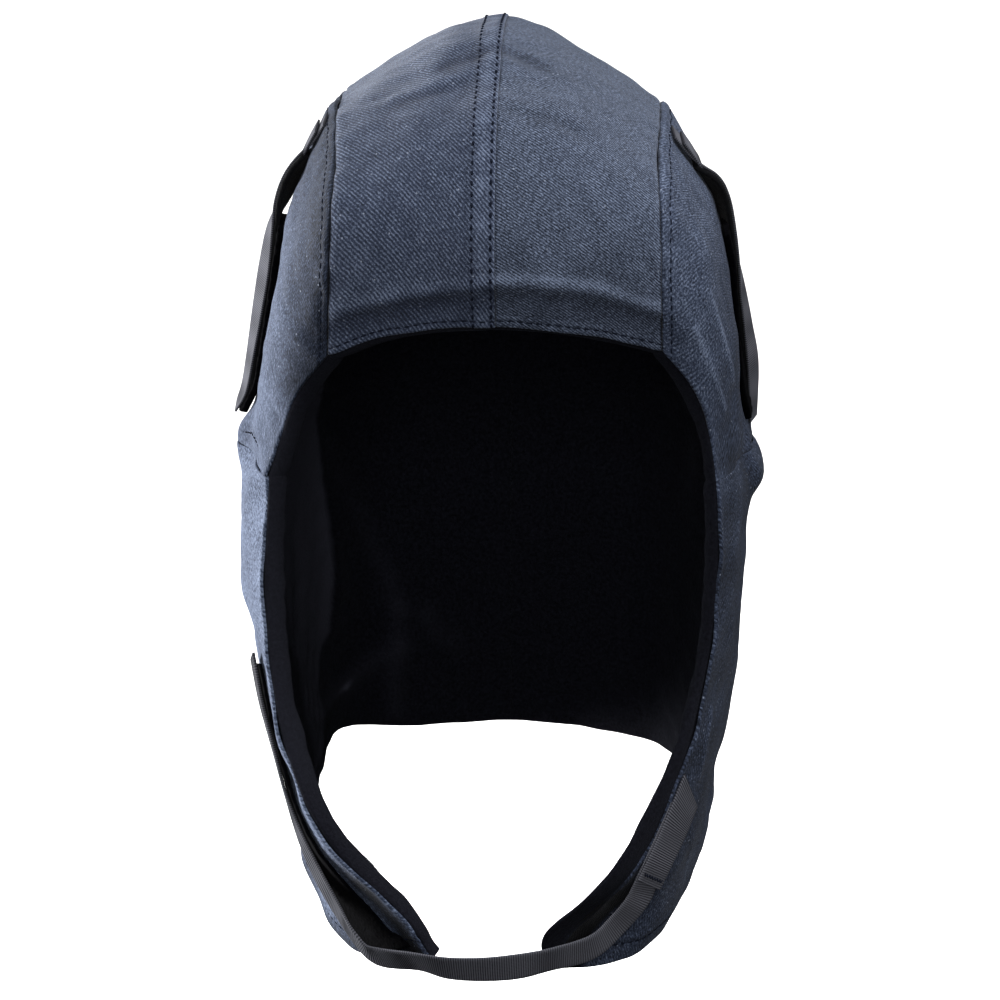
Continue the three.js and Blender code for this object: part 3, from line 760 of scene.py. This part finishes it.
def crown_panel(side):
    t = marks(CROWN_LONG, CROWN_STEP)[:, None]
    if side < 0:
        s = -1 + (1 + BAND_EDGE) * marks(CROWN_HALF, CROWN_STEP)[None, :]
    else:
        s = BAND_EDGE + (1 - BAND_EDGE) * marks(CROWN_HALF, CROWN_STEP, fine_low=False)[None, :]
    cloth = Cloth(crown_raw(t, s))
    seam = cloth.over if side < 0 else cloth.back
    middle = cloth.back if side < 0 else cloth.over
    brow, girth = cloth.down, cloth.up
    cloth.lift += 0.35 * waves(cloth.raw, 38, 3) + 0.16 * waves(cloth.raw, 15, 5)
    seam_edge(cloth, seam)
    cloth.lift += 0.22 * waves(cloth.raw, 11, 8) * bump(seam, 3, 5)
    cloth.lift += turned(girth, 1.1) - 0.8 * bump(girth, 0, 2.5)
    cloth.lift += turned(brow, 1.0)
    cloth.lift += 0.35 * (1 - step_up(brow, 4.2, 5.6))
    stitched(cloth, brow, BROW_ROW, 0.3, 0)
    stitched(cloth, girth, GIRTH_ROW, 0.3, 0.3)
    for back, up, width, rise, light in CREASE_PARTS[side]:
        cloth.crease([(x, y + back, h + up) for x, y, h in CREASE_BAND], width, rise, light)
    for crease in CROWN_CREASES:
        cloth.crease(*crease)
    pucker = np.sin(2 * np.pi * brow / PUCKER + 0.8 * np.sin(brow / 23))
    if side < 0:
        # the felled seam lies on this half
        cloth.lift += 0.62 * (1 - step_up(middle, BAND_WIDTH - 0.2, BAND_WIDTH + 1.4))
        cloth.lift += turned(middle, 0.9)
        stitched(cloth, middle, CENTRE_ROW, 0.16, 0)
        stitched(cloth, middle, BAND_ROW, 0.16, 0)
        cloth.lift += 0.14 * pucker * bump(middle, 5, 3.4)
        # painted highlights on the band's puckers and along its edge, with the band painted a little paler
        cloth.shade += (0.1 + 0.06 * pucker) * bump(middle, 5.2, 3) + 0.2 * bump(middle, 0, 0.6)
    else:
        cloth.lift += 0.1 * pucker * bump(middle, 2, 3) - 0.25 * bump(middle, 0, 1.5)
        # painted shade along the seam's line
        cloth.shade -= 0.12 * bump(middle, 0, 0.8)
    # the pattern of the two halves doesn't run on across the seam
    uv = np.stack([cloth.over + side * 7, cloth.down], -1)
    twill_panel(cloth, f"crown_{SIDE_NAME[side]}", uv, TWILL_CROWN[side])
    if side < 0:
        sew("crown", cloth.line(middle, CENTRE_ROW, 0, 0.12), 4.3, 2.2, 1.15)
        sew("crown", cloth.line(middle, BAND_ROW, 0, 0.15), 4.3, 2.1, 1.15)
    sew("crown", cloth.line(brow, BROW_ROW, 1, 0.05))
    sew("girth", cloth.line(girth, GIRTH_ROW, 1, 0.05))


def side_panel(side):
    u = marks(SIDE_LONG, SIDE_STEP)[:, None]
    v = marks(SIDE_HIGH, SIDE_STEP)[None, :]
    cloth = Cloth(side_raw(side, u, v))
    top, low, face, rear = cloth.over, cloth.back, cloth.down, cloth.up
    cloth.lift += 0.4 * waves(cloth.raw, 42, 13 + side) + 0.16 * waves(cloth.raw, 16, 17 + side)
    for d in (top, rear):
        seam_edge(cloth, d)
        stitched(cloth, d, SEAM_ROW, 0.2, 0.1)
        cloth.lift += 0.25 * waves(cloth.raw, 12, 21 + side) * bump(d, 5, 6)
    cloth.lift += turned(face, 1.3) - 0.4 * bump(low, 0, 0.7) * step_up(cloth.raw[..., 1], -64, -40)
    for crease in SIDE_CREASES[side]:
        cloth.crease(*crease)
    cloth.shade += 0.5 * TONE_UNREST * waves(cloth.raw, 26, 61 + side)
    # Painted light and shade: the left panel is a little paler and darker near its top seam, and the right one
    # darker low down
    if side < 0:
        cloth.shade += 0.08 - 0.42 * bump(top, 0, 40)
    else:
        cloth.shade -= 0.21 * step_up(top, 30, 80)
    uv = np.stack([side * cloth.down, cloth.over], -1)
    name = SIDE_NAME[side]
    twill_panel(cloth, f"side_{name}", uv, TWILL_SIDE)
    sew("side", cloth.line(top, SEAM_ROW, 0, 0.05))
    sew("side", cloth.line(rear, SEAM_ROW, 1, 0.05))


def neck_panel(side):
    u = marks(NECK_ROUND, NECK_STEP, fine_high=False)[:, None]
    w = marks(NECK_HIGH, NECK_STEP)[None, :]
    cloth = Cloth(neck_raw(side, u, w))
    top, hem, face = cloth.over, cloth.back, cloth.down
    cloth.lift += 0.5 * waves(cloth.raw, 45, 33) + 0.2 * waves(cloth.raw, 18, 35)
    cloth.lift -= 0.4 * bump(top, 0, 0.7) * step_up(cloth.raw[..., 1], -64, -40)
    cloth.lift += turned(face, 1.3) + turned(hem, 1.0)
    stitched(cloth, hem, HEM_ROW, 0.3, 0.3)
    for crease in NECK_CREASES[side]:
        cloth.crease(*crease)
    # the flap is in the shade of the strap and its pad, painted in as near-black shade; painted light makes
    # the left skirt behind the cheek paler, and painted shade makes the right one darker
    flap = step_up(w + 0 * face, 0.64, 0.76)
    if side > 0:
        cloth.shade -= flap * (1 - step_up(face, 11, 17)) * (1 - 0.45 * bump(face, 1, 0.9))
        with_painted_light = -0.24 * (1 - 0.5 * flap)
    else:
        cloth.shade -= flap * (0.75 * bump(face, 7, 5.5) + 0.35 * step_up(w, 0.88, 1))
        with_painted_light = 0.16 * (1 - step_up(u + 0 * w, 0.45, 0.75)) * (1 - 0.7 * flap)
    cloth.shade += with_painted_light + TONE_UNREST * waves(cloth.raw, 30, 65)
    # a painted highlight along the face edge
    cloth.shade += 0.06 * bump(face, 1.2, 0.8)
    uv = np.stack([side * cloth.down, cloth.over], -1)
    twill_panel(cloth, f"neck_{SIDE_NAME[side]}", uv, TWILL_SIDE)
    sew("neck", cloth.line(hem, HEM_ROW, 0, 0.05))


for panel in (crown_panel, side_panel, neck_panel):
    for side in (-1, 1):
        panel(side)

# The end of the left girth row, which curls up where its thread was turned
ROW_END = [
    (-103, -12, 5), (-102, -28, 8), (-100, -39, 11), (-97, -46, 9), (-96, -48, 7), (-96, -48, 2),
    (-94, -53, -3), (-93, -57, -14),
]
row_end = spline(ROW_END, np.linspace(0, 1, 80))
row_out = outward(row_end)
sew("side", (folded(row_end) + row_out * 1.1, row_out), 2.6, 2.1, 0.75)

# Fleece lining: one sheet for each panel group, rolled over at the face edge into a soft lip
LIP_FORWARD = {-1: 2.6, 1: 1.8}
# How far the fleece shows beyond the twill, down the skirt and flap: share of the height, left, right
LIP_DOWN = [
    (0, 2.6, 1.8),
    (0.3, 2.8, 1.8),
    (0.5, 4.5, 8),
    (0.6, 4.8, 16),
    (0.7, 5, 23),
    (0.8, 4.6, 18),
    (0.9, 3.2, 9),
    (1, 0.8, 3),
]
# Folds of the lining: places, width, rise towards the head
LINING_FOLDS = [
    ([(-51, 97, -107), (-50, 98, -123), (-52, 97, -137), (-52, 98, -155)], 5, 2.5),
    ([(-50, 98, -123), (-61, 92, -131), (-73, 79, -141), (-79, 55, -144)], 5, 2.5),
    ([(-20, 105, -107), (-20, 107, -126), (-20, 111, -158)], 6, 2.0),
    ([(-91, 65, -45), (-93, 62, -57), (-93, 58, -80), (-91, 48, -97), (-88, 32, -113), (-84, 14, -130)],
     5, -2.0),
    ([(-83, 74, -11), (-81, 78, -29), (-78, 84, -62), (-77, 84, -71), (-77, 81, -94), (-79, 74, -112)],
     6, 2.5),
    ([(-78, 82, -23), (-73, 88, -42), (-67, 92, -58), (-62, 94, -73), (-57, 96, -86)], 4, -1.8),
    ([(-76, 85, -74), (-68, 89, -89), (-64, 92, -102), (-60, 94, -113)], 4, -1.8),
]
LIP_STEPS = 14           # rows round the lip
TUCK = 6                 # rows of the lining that are tucked in behind the twill's edge
# The fold of the left rear lining that faces the light, painted paler than the rest as painted light: heights,
# and where it ends
LIT_FOLD_HEIGHT = [-125, -112, -95, -79, -49, -11, 5, 20]
LIT_FOLD_EDGE = [-83, -81, -81, -81.5, -84.5, -88, -85, -79]
# Sharp ridges of the lining that catch the light, drawn only as painted highlights
FINE_RIDGES = [
    [(-51, 97, -104), (-50, 98, -123), (-52, 97, -137), (-51, 98, -155)],
    [(-50, 98, -123), (-61, 92, -131), (-73, 79, -141), (-79, 55, -144)],
    [(-38, 102, -107), (-34, 103, -116), (-22, 106, -124)],
    [(-78, 82, -23), (-73, 88, -42), (-67, 92, -58), (-62, 94, -73), (-57, 96, -86), (-50, 98, -104)],
]


def lining(node, name, raw, side_at, reach, seams):
    """A lining sheet from a grid whose first row lies on the face edge."""
    base = folded(raw)
    out = outward(base - np.array([0, 0, GIRTH]))
    normal = normals(base, out)
    from_face = lengths(base, 0)
    lean = np.maximum((normal * out).sum(-1), STEEPEST)
    lip = side_at * bump(from_face, 0, LIP_REACH)
    thick = FLEECE + lip
    depth = TWILL + GAP + thick
    for places, width, rise in LINING_FOLDS:
        depth = depth + rise * np.exp(-((off_line(raw, places) / width) ** 2))
    for d in seams(base):
        depth = depth - 0.8 * bump(d, 0, 1.6) + 0.3 * bump(d, 5, 2.5)
    depth = depth + 0.35 * waves(raw, 30, 51) + 0.2 * waves(raw, 12, 53)
    inner = base - out * (depth / lean)[..., None]
    forward = unit(base[0] - base[1])
    far = depth[0] / lean[0]
    near = (TWILL + GAP) / lean[0]
    middle = (near + far) / 2
    half = (far - near) / 2
    roll = []
    for angle in np.pi * np.arange(LIP_STEPS) / LIP_STEPS:
        inwards = (middle - half * math.cos(angle))[..., None]
        roll.append(base[0] - out[0] * inwards + forward * (reach * math.sin(angle))[..., None])
    tucked = base[TUCK:0:-1] - out[TUCK:0:-1] * near[..., None]
    place = np.concatenate([tucked, np.array(roll), inner], 0)
    rim_rows = TUCK + LIP_STEPS
    facing = np.concatenate([np.zeros_like(place[:rim_rows]), -out], 0)
    uv = np.stack([lengths(place, 0), lengths(place, 1)], -1)
    x, y, h = raw[..., 0], raw[..., 1], raw[..., 2]
    # painted light on the fold that faces the light and along the sharp ridges; the face edge is a little
    # paler too
    pale = step_up(np.interp(h, LIT_FOLD_HEIGHT, LIT_FOLD_EDGE) - x, -0.8, 0.8)
    painted_light_and_pale_edge = 0.62 * pale * step_up(y, 15, 35) * (1 - step_up(h, 25, 32))
    edge = 1 - 0.6 * step_up(h, 15, 45) - 0.7 * step_up(-h, 105, 150)
    painted_light_and_pale_edge = painted_light_and_pale_edge + np.where(side_at > 2, 0.2, 0.05) * bump(from_face, 0, 7) * edge
    for places in FINE_RIDGES:
        d = off_line(raw, places)
        painted_light_and_pale_edge = painted_light_and_pale_edge + 1.2 * bump(d, 0, 1.2) + 0.16 * bump(d, 0, 5)
    shades = np.concatenate([np.repeat(painted_light_and_pale_edge[:1], rim_rows, 0), painted_light_and_pale_edge], 0)
    mesh = grid_mesh(name, place, uv, shades, out=facing)
    piece = wall(add_piece(name, mesh, FLEECE_PILE), FLEECE_SHEET)
    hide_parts(node)


def both_seams(base):
    """How far the places of a grid are from its two long seams."""
    across = lengths(base, 1)
    return across, across[:, -1:] - across


def lining_crown():
    t = marks(CROWN_LONG, FLEECE_STEP)[:, None]
    s = -1 + 2 * marks(2 * CROWN_HALF, FLEECE_STEP)[None, :]
    side_at = np.where(s < 0, LIP[-1], LIP[1]) + 0 * t
    reach = np.where(s[0] < 0, LIP_FORWARD[-1], LIP_FORWARD[1])
    lining("lining_crown", "lining_crown_fleece", crown_raw(t, s), side_at, reach, both_seams)


def lining_side(side):
    u = marks(SIDE_LONG, FLEECE_STEP)[:, None]
    v = marks(SIDE_HIGH, FLEECE_STEP)[None, :]
    node = f"lining_side_{SIDE_NAME[side]}"
    reach = LIP_FORWARD[side] + 0 * v[0]
    lining(node, f"{node}_fleece", side_raw(side, u, v), LIP[side] + 0 * (u + v), reach, both_seams)


def lining_neck(side):
    heights, left, right = zip(*LIP_DOWN)
    step = FINE_FLEECE_STEP if side < 0 else FLEECE_STEP
    w = marks(NECK_HIGH, step)[None, :]
    u = marks(NECK_ROUND, step, fine_high=False)[:, None]
    reach = np.interp(w[0], heights, left if side < 0 else right)
    lining("lining_neck", f"lining_neck_{SIDE_NAME[side]}_fleece", neck_raw(side, u, w),
           LIP[side] + 0 * (u + w), reach, lambda base: (lengths(base, 1),))


lining_crown()
for side in (-1, 1):
    lining_side(side)
for side in (-1, 1):
    lining_neck(side)

# Straps. Rows: place on the panel as two shares, lift, and twist about the strap's own length in degrees
TEMPLE_PATH = {
    -1: [
        (0.53, 0.03, 0.3, 0), (0.53, 0.08, 0.4, 0), (0.53, 0.13, 1.6, 16), (0.52, 0.2, 3.4, 34),
        (0.51, 0.27, 4.7, 21), (0.5, 0.36, 5.6, -14), (0.485, 0.48, 6.0, -28), (0.47, 0.62, 5.8, -23),
        (0.46, 0.75, 5.5, -14), (0.452, 0.85, 5.2, -12), (0.448, 0.925, 4.8, -12),
    ],
    1: [
        (0.53, 0.03, 0.3, 0), (0.53, 0.08, 0.4, 0), (0.53, 0.13, 1.0, -12), (0.53, 0.19, 3.2, -36),
        (0.53, 0.24, 3.8, -38), (0.53, 0.31, 3.9, -22), (0.52, 0.42, 3.6, -8), (0.51, 0.54, 5.4, 11),
        (0.5, 0.66, 6.2, 17), (0.49, 0.78, 5.4, 20), (0.47, 0.94, 1.2, 14),
    ],
}
TEMPLE_TAB = [(0.53, 0.055, 1.7), (0.53, 0.1, 1.7), (0.53, 0.145, 1.7)]
TEMPLE_PAD = [
    (0.495, 0.33, 0.3), (0.49, 0.43, 0.3), (0.48, 0.54, 0.3), (0.472, 0.64, 0.3), (0.464, 0.73, 0.3),
    (0.458, 0.82, 0.3), (0.455, 0.905, 0.3),
]
CHIN_START = [
    (0.034, 0.56, 1.2, 16), (0.03, 0.62, 1.4, 17), (0.034, 0.675, 2.2, 18), (0.05, 0.73, 4.1, 20),
    (0.054, 0.8, 4.7, 14), (0.034, 0.866, 4.8, 4),
]
# Between the flaps: place, way it faces, twist
CHIN_SPAN = [
    ((25.5, -115.5, -356.5), (0.45, -0.86, -0.25), -4),
    ((12, -120.5, -358), (0.2, -0.93, -0.31), 6),
    ((-2, -122, -358.8), (0, -0.94, -0.34), 2),
    ((-16, -120.5, -359), (-0.2, -0.93, -0.31), -6),
    ((-29, -115, -358.4), (-0.42, -0.87, -0.27), -19),
]
CHIN_END = [
    (0.06, 0.93, 8.6, -18), (0.075, 0.87, 10.3, -21), (0.09, 0.8, 7.8, -8), (0.1, 0.72, 3.8, 5),
    (0.105, 0.64, 2.8, 9), (0.105, 0.56, 3.0, 3), (0.105, 0.48, 2.6, 4), (0.105, 0.4, 2.6, 4),
    (0.105, 0.325, 2.2, 1),
]
CHIN_TAB = [(0.036, 0.69, 4.4, -19), (0.03, 0.64, 3.4, -18), (0.03, 0.585, 3.0, -17), (0.034, 0.53, 2.8, -17)]
CHIN_PAD = [
    (0.108, 0.34, 0.4), (0.104, 0.45, 0.4), (0.096, 0.56, 0.4), (0.094, 0.65, 0.4), (0.096, 0.74, 0.4),
    (0.096, 0.83, 0.4), (0.08, 0.9, 0.4), (0.06, 0.95, 0.4),
]
TEMPLE_WIDE = 10
CHIN_WIDE = 12
TAPE_THICK = 2.2
TAPE_IN = -GAP - TAPE_THICK      # the hook tape lies on the inner face of its strap
RIB_PITCH = 0.9
TAPE_STEP = 1.2


def frame_on(raw, a, b, lift, twist=0.0):
    """A place lifted off a surface, the way it faces, and its twist."""
    step = 1e-3
    grid = raw(np.array([a - step, a, a + step])[:, None], np.array([b - step, b, b + step])[None, :])
    place = folded(grid)
    out = outward(place - np.array([0, 0, GIRTH]))
    normal = unit(np.cross(place[2, 1] - place[0, 1], place[1, 2] - place[1, 0]))
    if normal @ out[1, 1] < 0:
        normal = -normal
    return place[1, 1] + normal * lift, normal, twist


def on_side(side, u, v, lift, twist=0.0):
    return frame_on(lambda a, b: side_raw(side, a, b), u, v, lift, twist)


def on_flap(side, u, w, lift, twist=0.0):
    return frame_on(lambda a, b: neck_raw(side, a, b), u, w, lift, twist)


def ribbon(
    name, frames, width, inner, thick, share, material, slot, rib=0.0, fuzz=0.0, slant=0.0, tone=(0, 0)
):
    """A flat tape along frames: rounded edges, ribs across it if it is webbing, closed at its ends.

    Inner is how far out its near face is. Share is the stretch of the frames that it takes. Slant is how much
    further its last end reaches at one edge than at the other, cut askew. Tone makes its start and its end
    paler or darker, as painted light and shade.
    """
    places = [place for place, facing, twist in frames]
    facings = [facing for place, facing, twist in frames]
    twists = [[twist] for place, facing, twist in frames]
    shares = np.linspace(share[0], share[1], 400)
    length = lengths(spline(places, shares)[:, None], 0)[:, 0]
    count = max(8, round(length[-1] / (RIB_PITCH / 4 if rib else TAPE_STEP)))
    wanted = np.linspace(0, length[-1], count + 1)
    t = np.interp(wanted, length, shares)
    middle = spline(places, t)
    tangent = unit(spline(places, np.minimum(t + 1e-3, 1)) - spline(places, np.maximum(t - 1e-3, 0)))
    facing = spline(facings, t)
    facing = unit(facing - tangent * (facing * tangent).sum(-1, keepdims=True))
    twist = np.radians(spline(twists, t))
    facing = facing * np.cos(twist) + np.cross(tangent, facing) * np.sin(twist)
    across = np.cross(tangent, facing)
    radius = thick / 2
    curve = min(radius, 0.6)
    half = width / 2 - curve
    flat_points = 9
    bends = np.radians((45, 90, 135))
    section = [(x, radius, 1) for x in np.linspace(-half, half, flat_points)]
    section += [(half + curve * math.sin(a), radius * math.cos(a), 0) for a in bends]
    section += [(x, -radius, -1) for x in np.linspace(half, -half, flat_points)]
    section += [(-half - curve * math.sin(a), -radius * math.cos(a), 0) for a in bends]
    section += section[:1]
    ribs = rib * np.cos(2 * np.pi * wanted / RIB_PITCH)
    near_end = np.clip((wanted - wanted[-1]) / (2 * abs(slant) + 1) + 1, 0, 1)
    rows = []
    for x, up, face in section:
        rise = inner + radius + up + face * ribs * (abs(x) < half - 0.4)
        along = tangent * (near_end * slant * x / width)[:, None]
        rows.append(middle + across * x + along + facing * np.broadcast_to(rise, wanted.shape)[:, None])
    place = np.stack(rows, 1)
    flat = 0 * place[..., 0]
    if fuzz:
        place = place + unit(place - middle[:, None]) * (fuzz * waves(place, 1.6, 71))[..., None]
    uv = np.stack([wanted[:, None] + flat, np.array([x for x, *_ in section])[None, :] + flat], -1)
    shades = (tone[0] + (tone[1] - tone[0]) * wanted / wanted[-1])[:, None] + flat
    mesh = grid_mesh(name, place, uv, shades)
    bm = bmesh.new()
    bm.from_mesh(mesh)
    bmesh.ops.remove_doubles(bm, verts=bm.verts, dist=1e-6)
    bmesh.ops.holes_fill(bm, edges=[e for e in bm.edges if e.is_boundary], sides=0)
    bmesh.ops.recalc_face_normals(bm, faces=bm.faces)
    bm.to_mesh(mesh)
    bm.free()
    mesh.shade_smooth()
    return add_piece(name, mesh, material)


def webbing(node, name, frames, width, thick, **settings):
    """A strap of webbing, in place of its CAD node."""
    piece = ribbon(name, frames, width, 0, thick, (0, 1), WEBBING, "charcoal_webbing", **settings)
    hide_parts(node)


def tape(node, name, frames, width, inner, thick, share, material, **settings):
    """A fastening tape or pad, in place of its CAD node."""
    piece = ribbon(name, frames, width, inner, thick, share, material, "black_tape", **settings)
    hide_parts(node)


def bar_stitch(name, frames, share, width, lift):
    """A zigzag row of thread across a tape."""
    middle, ahead = spline([f[0] for f in frames], np.array([share, share + 0.02]))
    way = unit(ahead - middle)
    facing = unit(spline([f[1] for f in frames], share))
    twist = math.radians(float(spline([[f[2]] for f in frames], share)[0]))
    facing = facing * math.cos(twist) + np.cross(way, facing) * math.sin(twist)
    points = 15
    x = np.linspace(-0.5, 0.5, points)[:, None] * width
    along = 0.9 * (-1.0) ** np.arange(points)[:, None]
    line = middle + np.cross(way, facing) * x + way * along + facing * lift
    sew(name, (line, facing + 0 * x), 1.1, 1.3, 0.6)


def temple_straps():
    for side, name in SIDE_NAME.items():
        path = [on_side(side, *row) for row in TEMPLE_PATH[side]]
        tab = [on_side(side, *row) for row in TEMPLE_TAB]
        pad = [on_side(side, *row) for row in TEMPLE_PAD]
        webbing(f"temple_strap_{name}", f"temple_webbing_{name}", path, TEMPLE_WIDE, 1, rib=0.09)
        tape(f"temple_hook_{name}", f"temple_hooks_{name}", path, 11.4, TAPE_IN, TAPE_THICK, (0.2, 0.985),
             HOOKS, fuzz=0.1)
        webbing(f"temple_tab_{name}", f"temple_tab_webbing_{name}", tab, TEMPLE_WIDE, 1, rib=0.09, slant=3)
        tape(f"temple_loop_{name}", f"temple_pad_{name}", pad, 16, 0, 2.8, (0, 1), LOOPS, fuzz=0.2)


def chin_straps():
    span = [
        (np.array(place, float), unit(np.array(facing, float)), twist) for place, facing, twist in CHIN_SPAN
    ]
    path = [on_flap(1, *row) for row in CHIN_START] + span + [on_flap(-1, *row) for row in CHIN_END]
    tab = [on_flap(1, *row) for row in CHIN_TAB]
    pad = [on_flap(-1, *row) for row in CHIN_PAD]
    # the tones are painted light and shade: each webbing is painted paler at its start on the right and darker
    # towards its end on the left
    webbing("chin_strap", "chin_webbing", path, CHIN_WIDE, 1.2, rib=0.1, slant=4, tone=(0.25, -0.4))
    webbing("chin_tab", "chin_tab_webbing", tab, 14, 1.2, rib=0.1, slant=-9, tone=(0.02, -0.15))
    bar_stitch("chin", tab, 0.1, 11, 1.3)
    tape("chin_hook", "chin_hooks", path, 11.6, TAPE_IN, TAPE_THICK, (0.76, 0.985), HOOKS, fuzz=0.1)
    tape("chin_loop", "chin_pad", pad, 22, 0, 1.4, (0, 1), LOOPS, fuzz=0.2, slant=-18)


temple_straps()
chin_straps()

THREAD_SUNK = 0.42       # half a stitch's height, as a share of its width


def make_stitches():
    """Every stitch is a short bead of thread, sunk a little into its groove."""
    groups = {}
    for name, *row in stitch_rows:
        groups.setdefault(name, []).append(row)
    scale = Matrix.Scale(MM, 4)
    poles = Matrix.Rotation(math.pi / 2, 4, "Y")
    for name, rows in groups.items():
        bm = bmesh.new()
        for (places, facings), pitch, length, thick in rows:
            total = lengths(places[:, None], 0)[:, 0]
            count = int(total[-1] / pitch)
            for k in range(count):
                at = (k + 0.5) * total[-1] / count
                start, end = (
                    np.array([np.interp(at + d, total, places[:, c]) for c in range(3)])
                    for d in (-length / 2, length / 2)
                )
                normal = np.array([np.interp(at, total, facings[:, c]) for c in range(3)])
                way = unit(end - start)
                normal = unit(normal - way * (normal @ way))
                middle = (start + end) / 2
                aside = np.cross(normal, way)
                axes = (way * length / 2, aside * thick / 2, normal * thick * THREAD_SUNK, middle)
                turn = Matrix([*np.stack(axes, 1).tolist(), [0, 0, 0, 1]])
                matrix = scale @ turn @ poles
                bmesh.ops.create_uvsphere(bm, u_segments=6, v_segments=4, radius=1, matrix=matrix)
        mesh = bpy.data.meshes.new(f"stitches_{name}")
        bm.to_mesh(mesh)
        bm.free()
        mesh.shade_smooth()
        add_piece(f"stitches_{name}", mesh, THREAD)


make_stitches()

# Floor, world and lights: a white studio, with a strong soft light from the left and behind
FLOOR_SIZE = 30
FLOOR_HEIGHT = -0.7
bm = bmesh.new()
bmesh.ops.create_grid(bm, x_segments=1, y_segments=1, size=FLOOR_SIZE)
bmesh.ops.translate(bm, verts=bm.verts, vec=(0, 0, FLOOR_HEIGHT))
floor_mesh = bpy.data.meshes.new("floor")
bm.to_mesh(floor_mesh)
bm.free()
floor = bpy.data.objects.new("floor", floor_mesh)
bpy.context.scene.collection.objects.link(floor)
paper, *_ = new_material("white_paper", "#fafafa", {"Roughness": 0.9})
floor_mesh.materials.append(paper)
floor.visible_diffuse = False
floor.visible_glossy = False

world = bpy.data.worlds.new("studio")
bpy.context.scene.world = world
world.use_nodes = True
world.node_tree.nodes["Background"].inputs["Color"].default_value = (1, 1, 1, 1)
world.node_tree.nodes["Background"].inputs["Strength"].default_value = 1.0
world.cycles_visibility.diffuse = False
world.cycles_visibility.glossy = False

CENTRE = Vector((0, 0, -0.19))
LAMP_AWAY = 1.6
LAMP_SIZE = 0.8
# Lamps: name, azimuth and elevation in degrees, watts
LAMPS = [
    ("left", -108, -3, 88),
    ("right", 80, 50, 26),
    ("behind", 180, 55, 13),
    ("front", 0, 15, 13),
    ("front_high", -20, 58, 14),
]


def softbox(name, azimuth, elevation, power):
    """A square soft light that faces the hood from an angle, given as the camera's is."""
    way = direction(math.radians(azimuth), math.radians(elevation))
    lamp = bpy.data.lights.new(name, "AREA")
    lamp.shape = "SQUARE"
    lamp.size = LAMP_SIZE
    lamp.energy = power
    light = bpy.data.objects.new(name, lamp)
    bpy.context.scene.collection.objects.link(light)
    light.location = CENTRE + way * LAMP_AWAY
    light.visible_camera = False
    light.rotation_euler = (-way).to_track_quat("-Z", "Y").to_euler()


for lamp_row in LAMPS:
    softbox(*lamp_row)

# The paper has a light of its own, so that it's white and the hood isn't lit by it
paper_lamp = bpy.data.lights.new("paper", "SUN")
paper_lamp.energy = 5
paper_light = bpy.data.objects.new("paper", paper_lamp)
bpy.context.scene.collection.objects.link(paper_light)
lit = bpy.data.collections.new("paper_lit")
lit.objects.link(floor)
paper_light.light_linking.receiver_collection = lit
paper_light.light_linking.blocker_collection = lit

bpy.context.scene.view_settings.view_transform = "Standard"
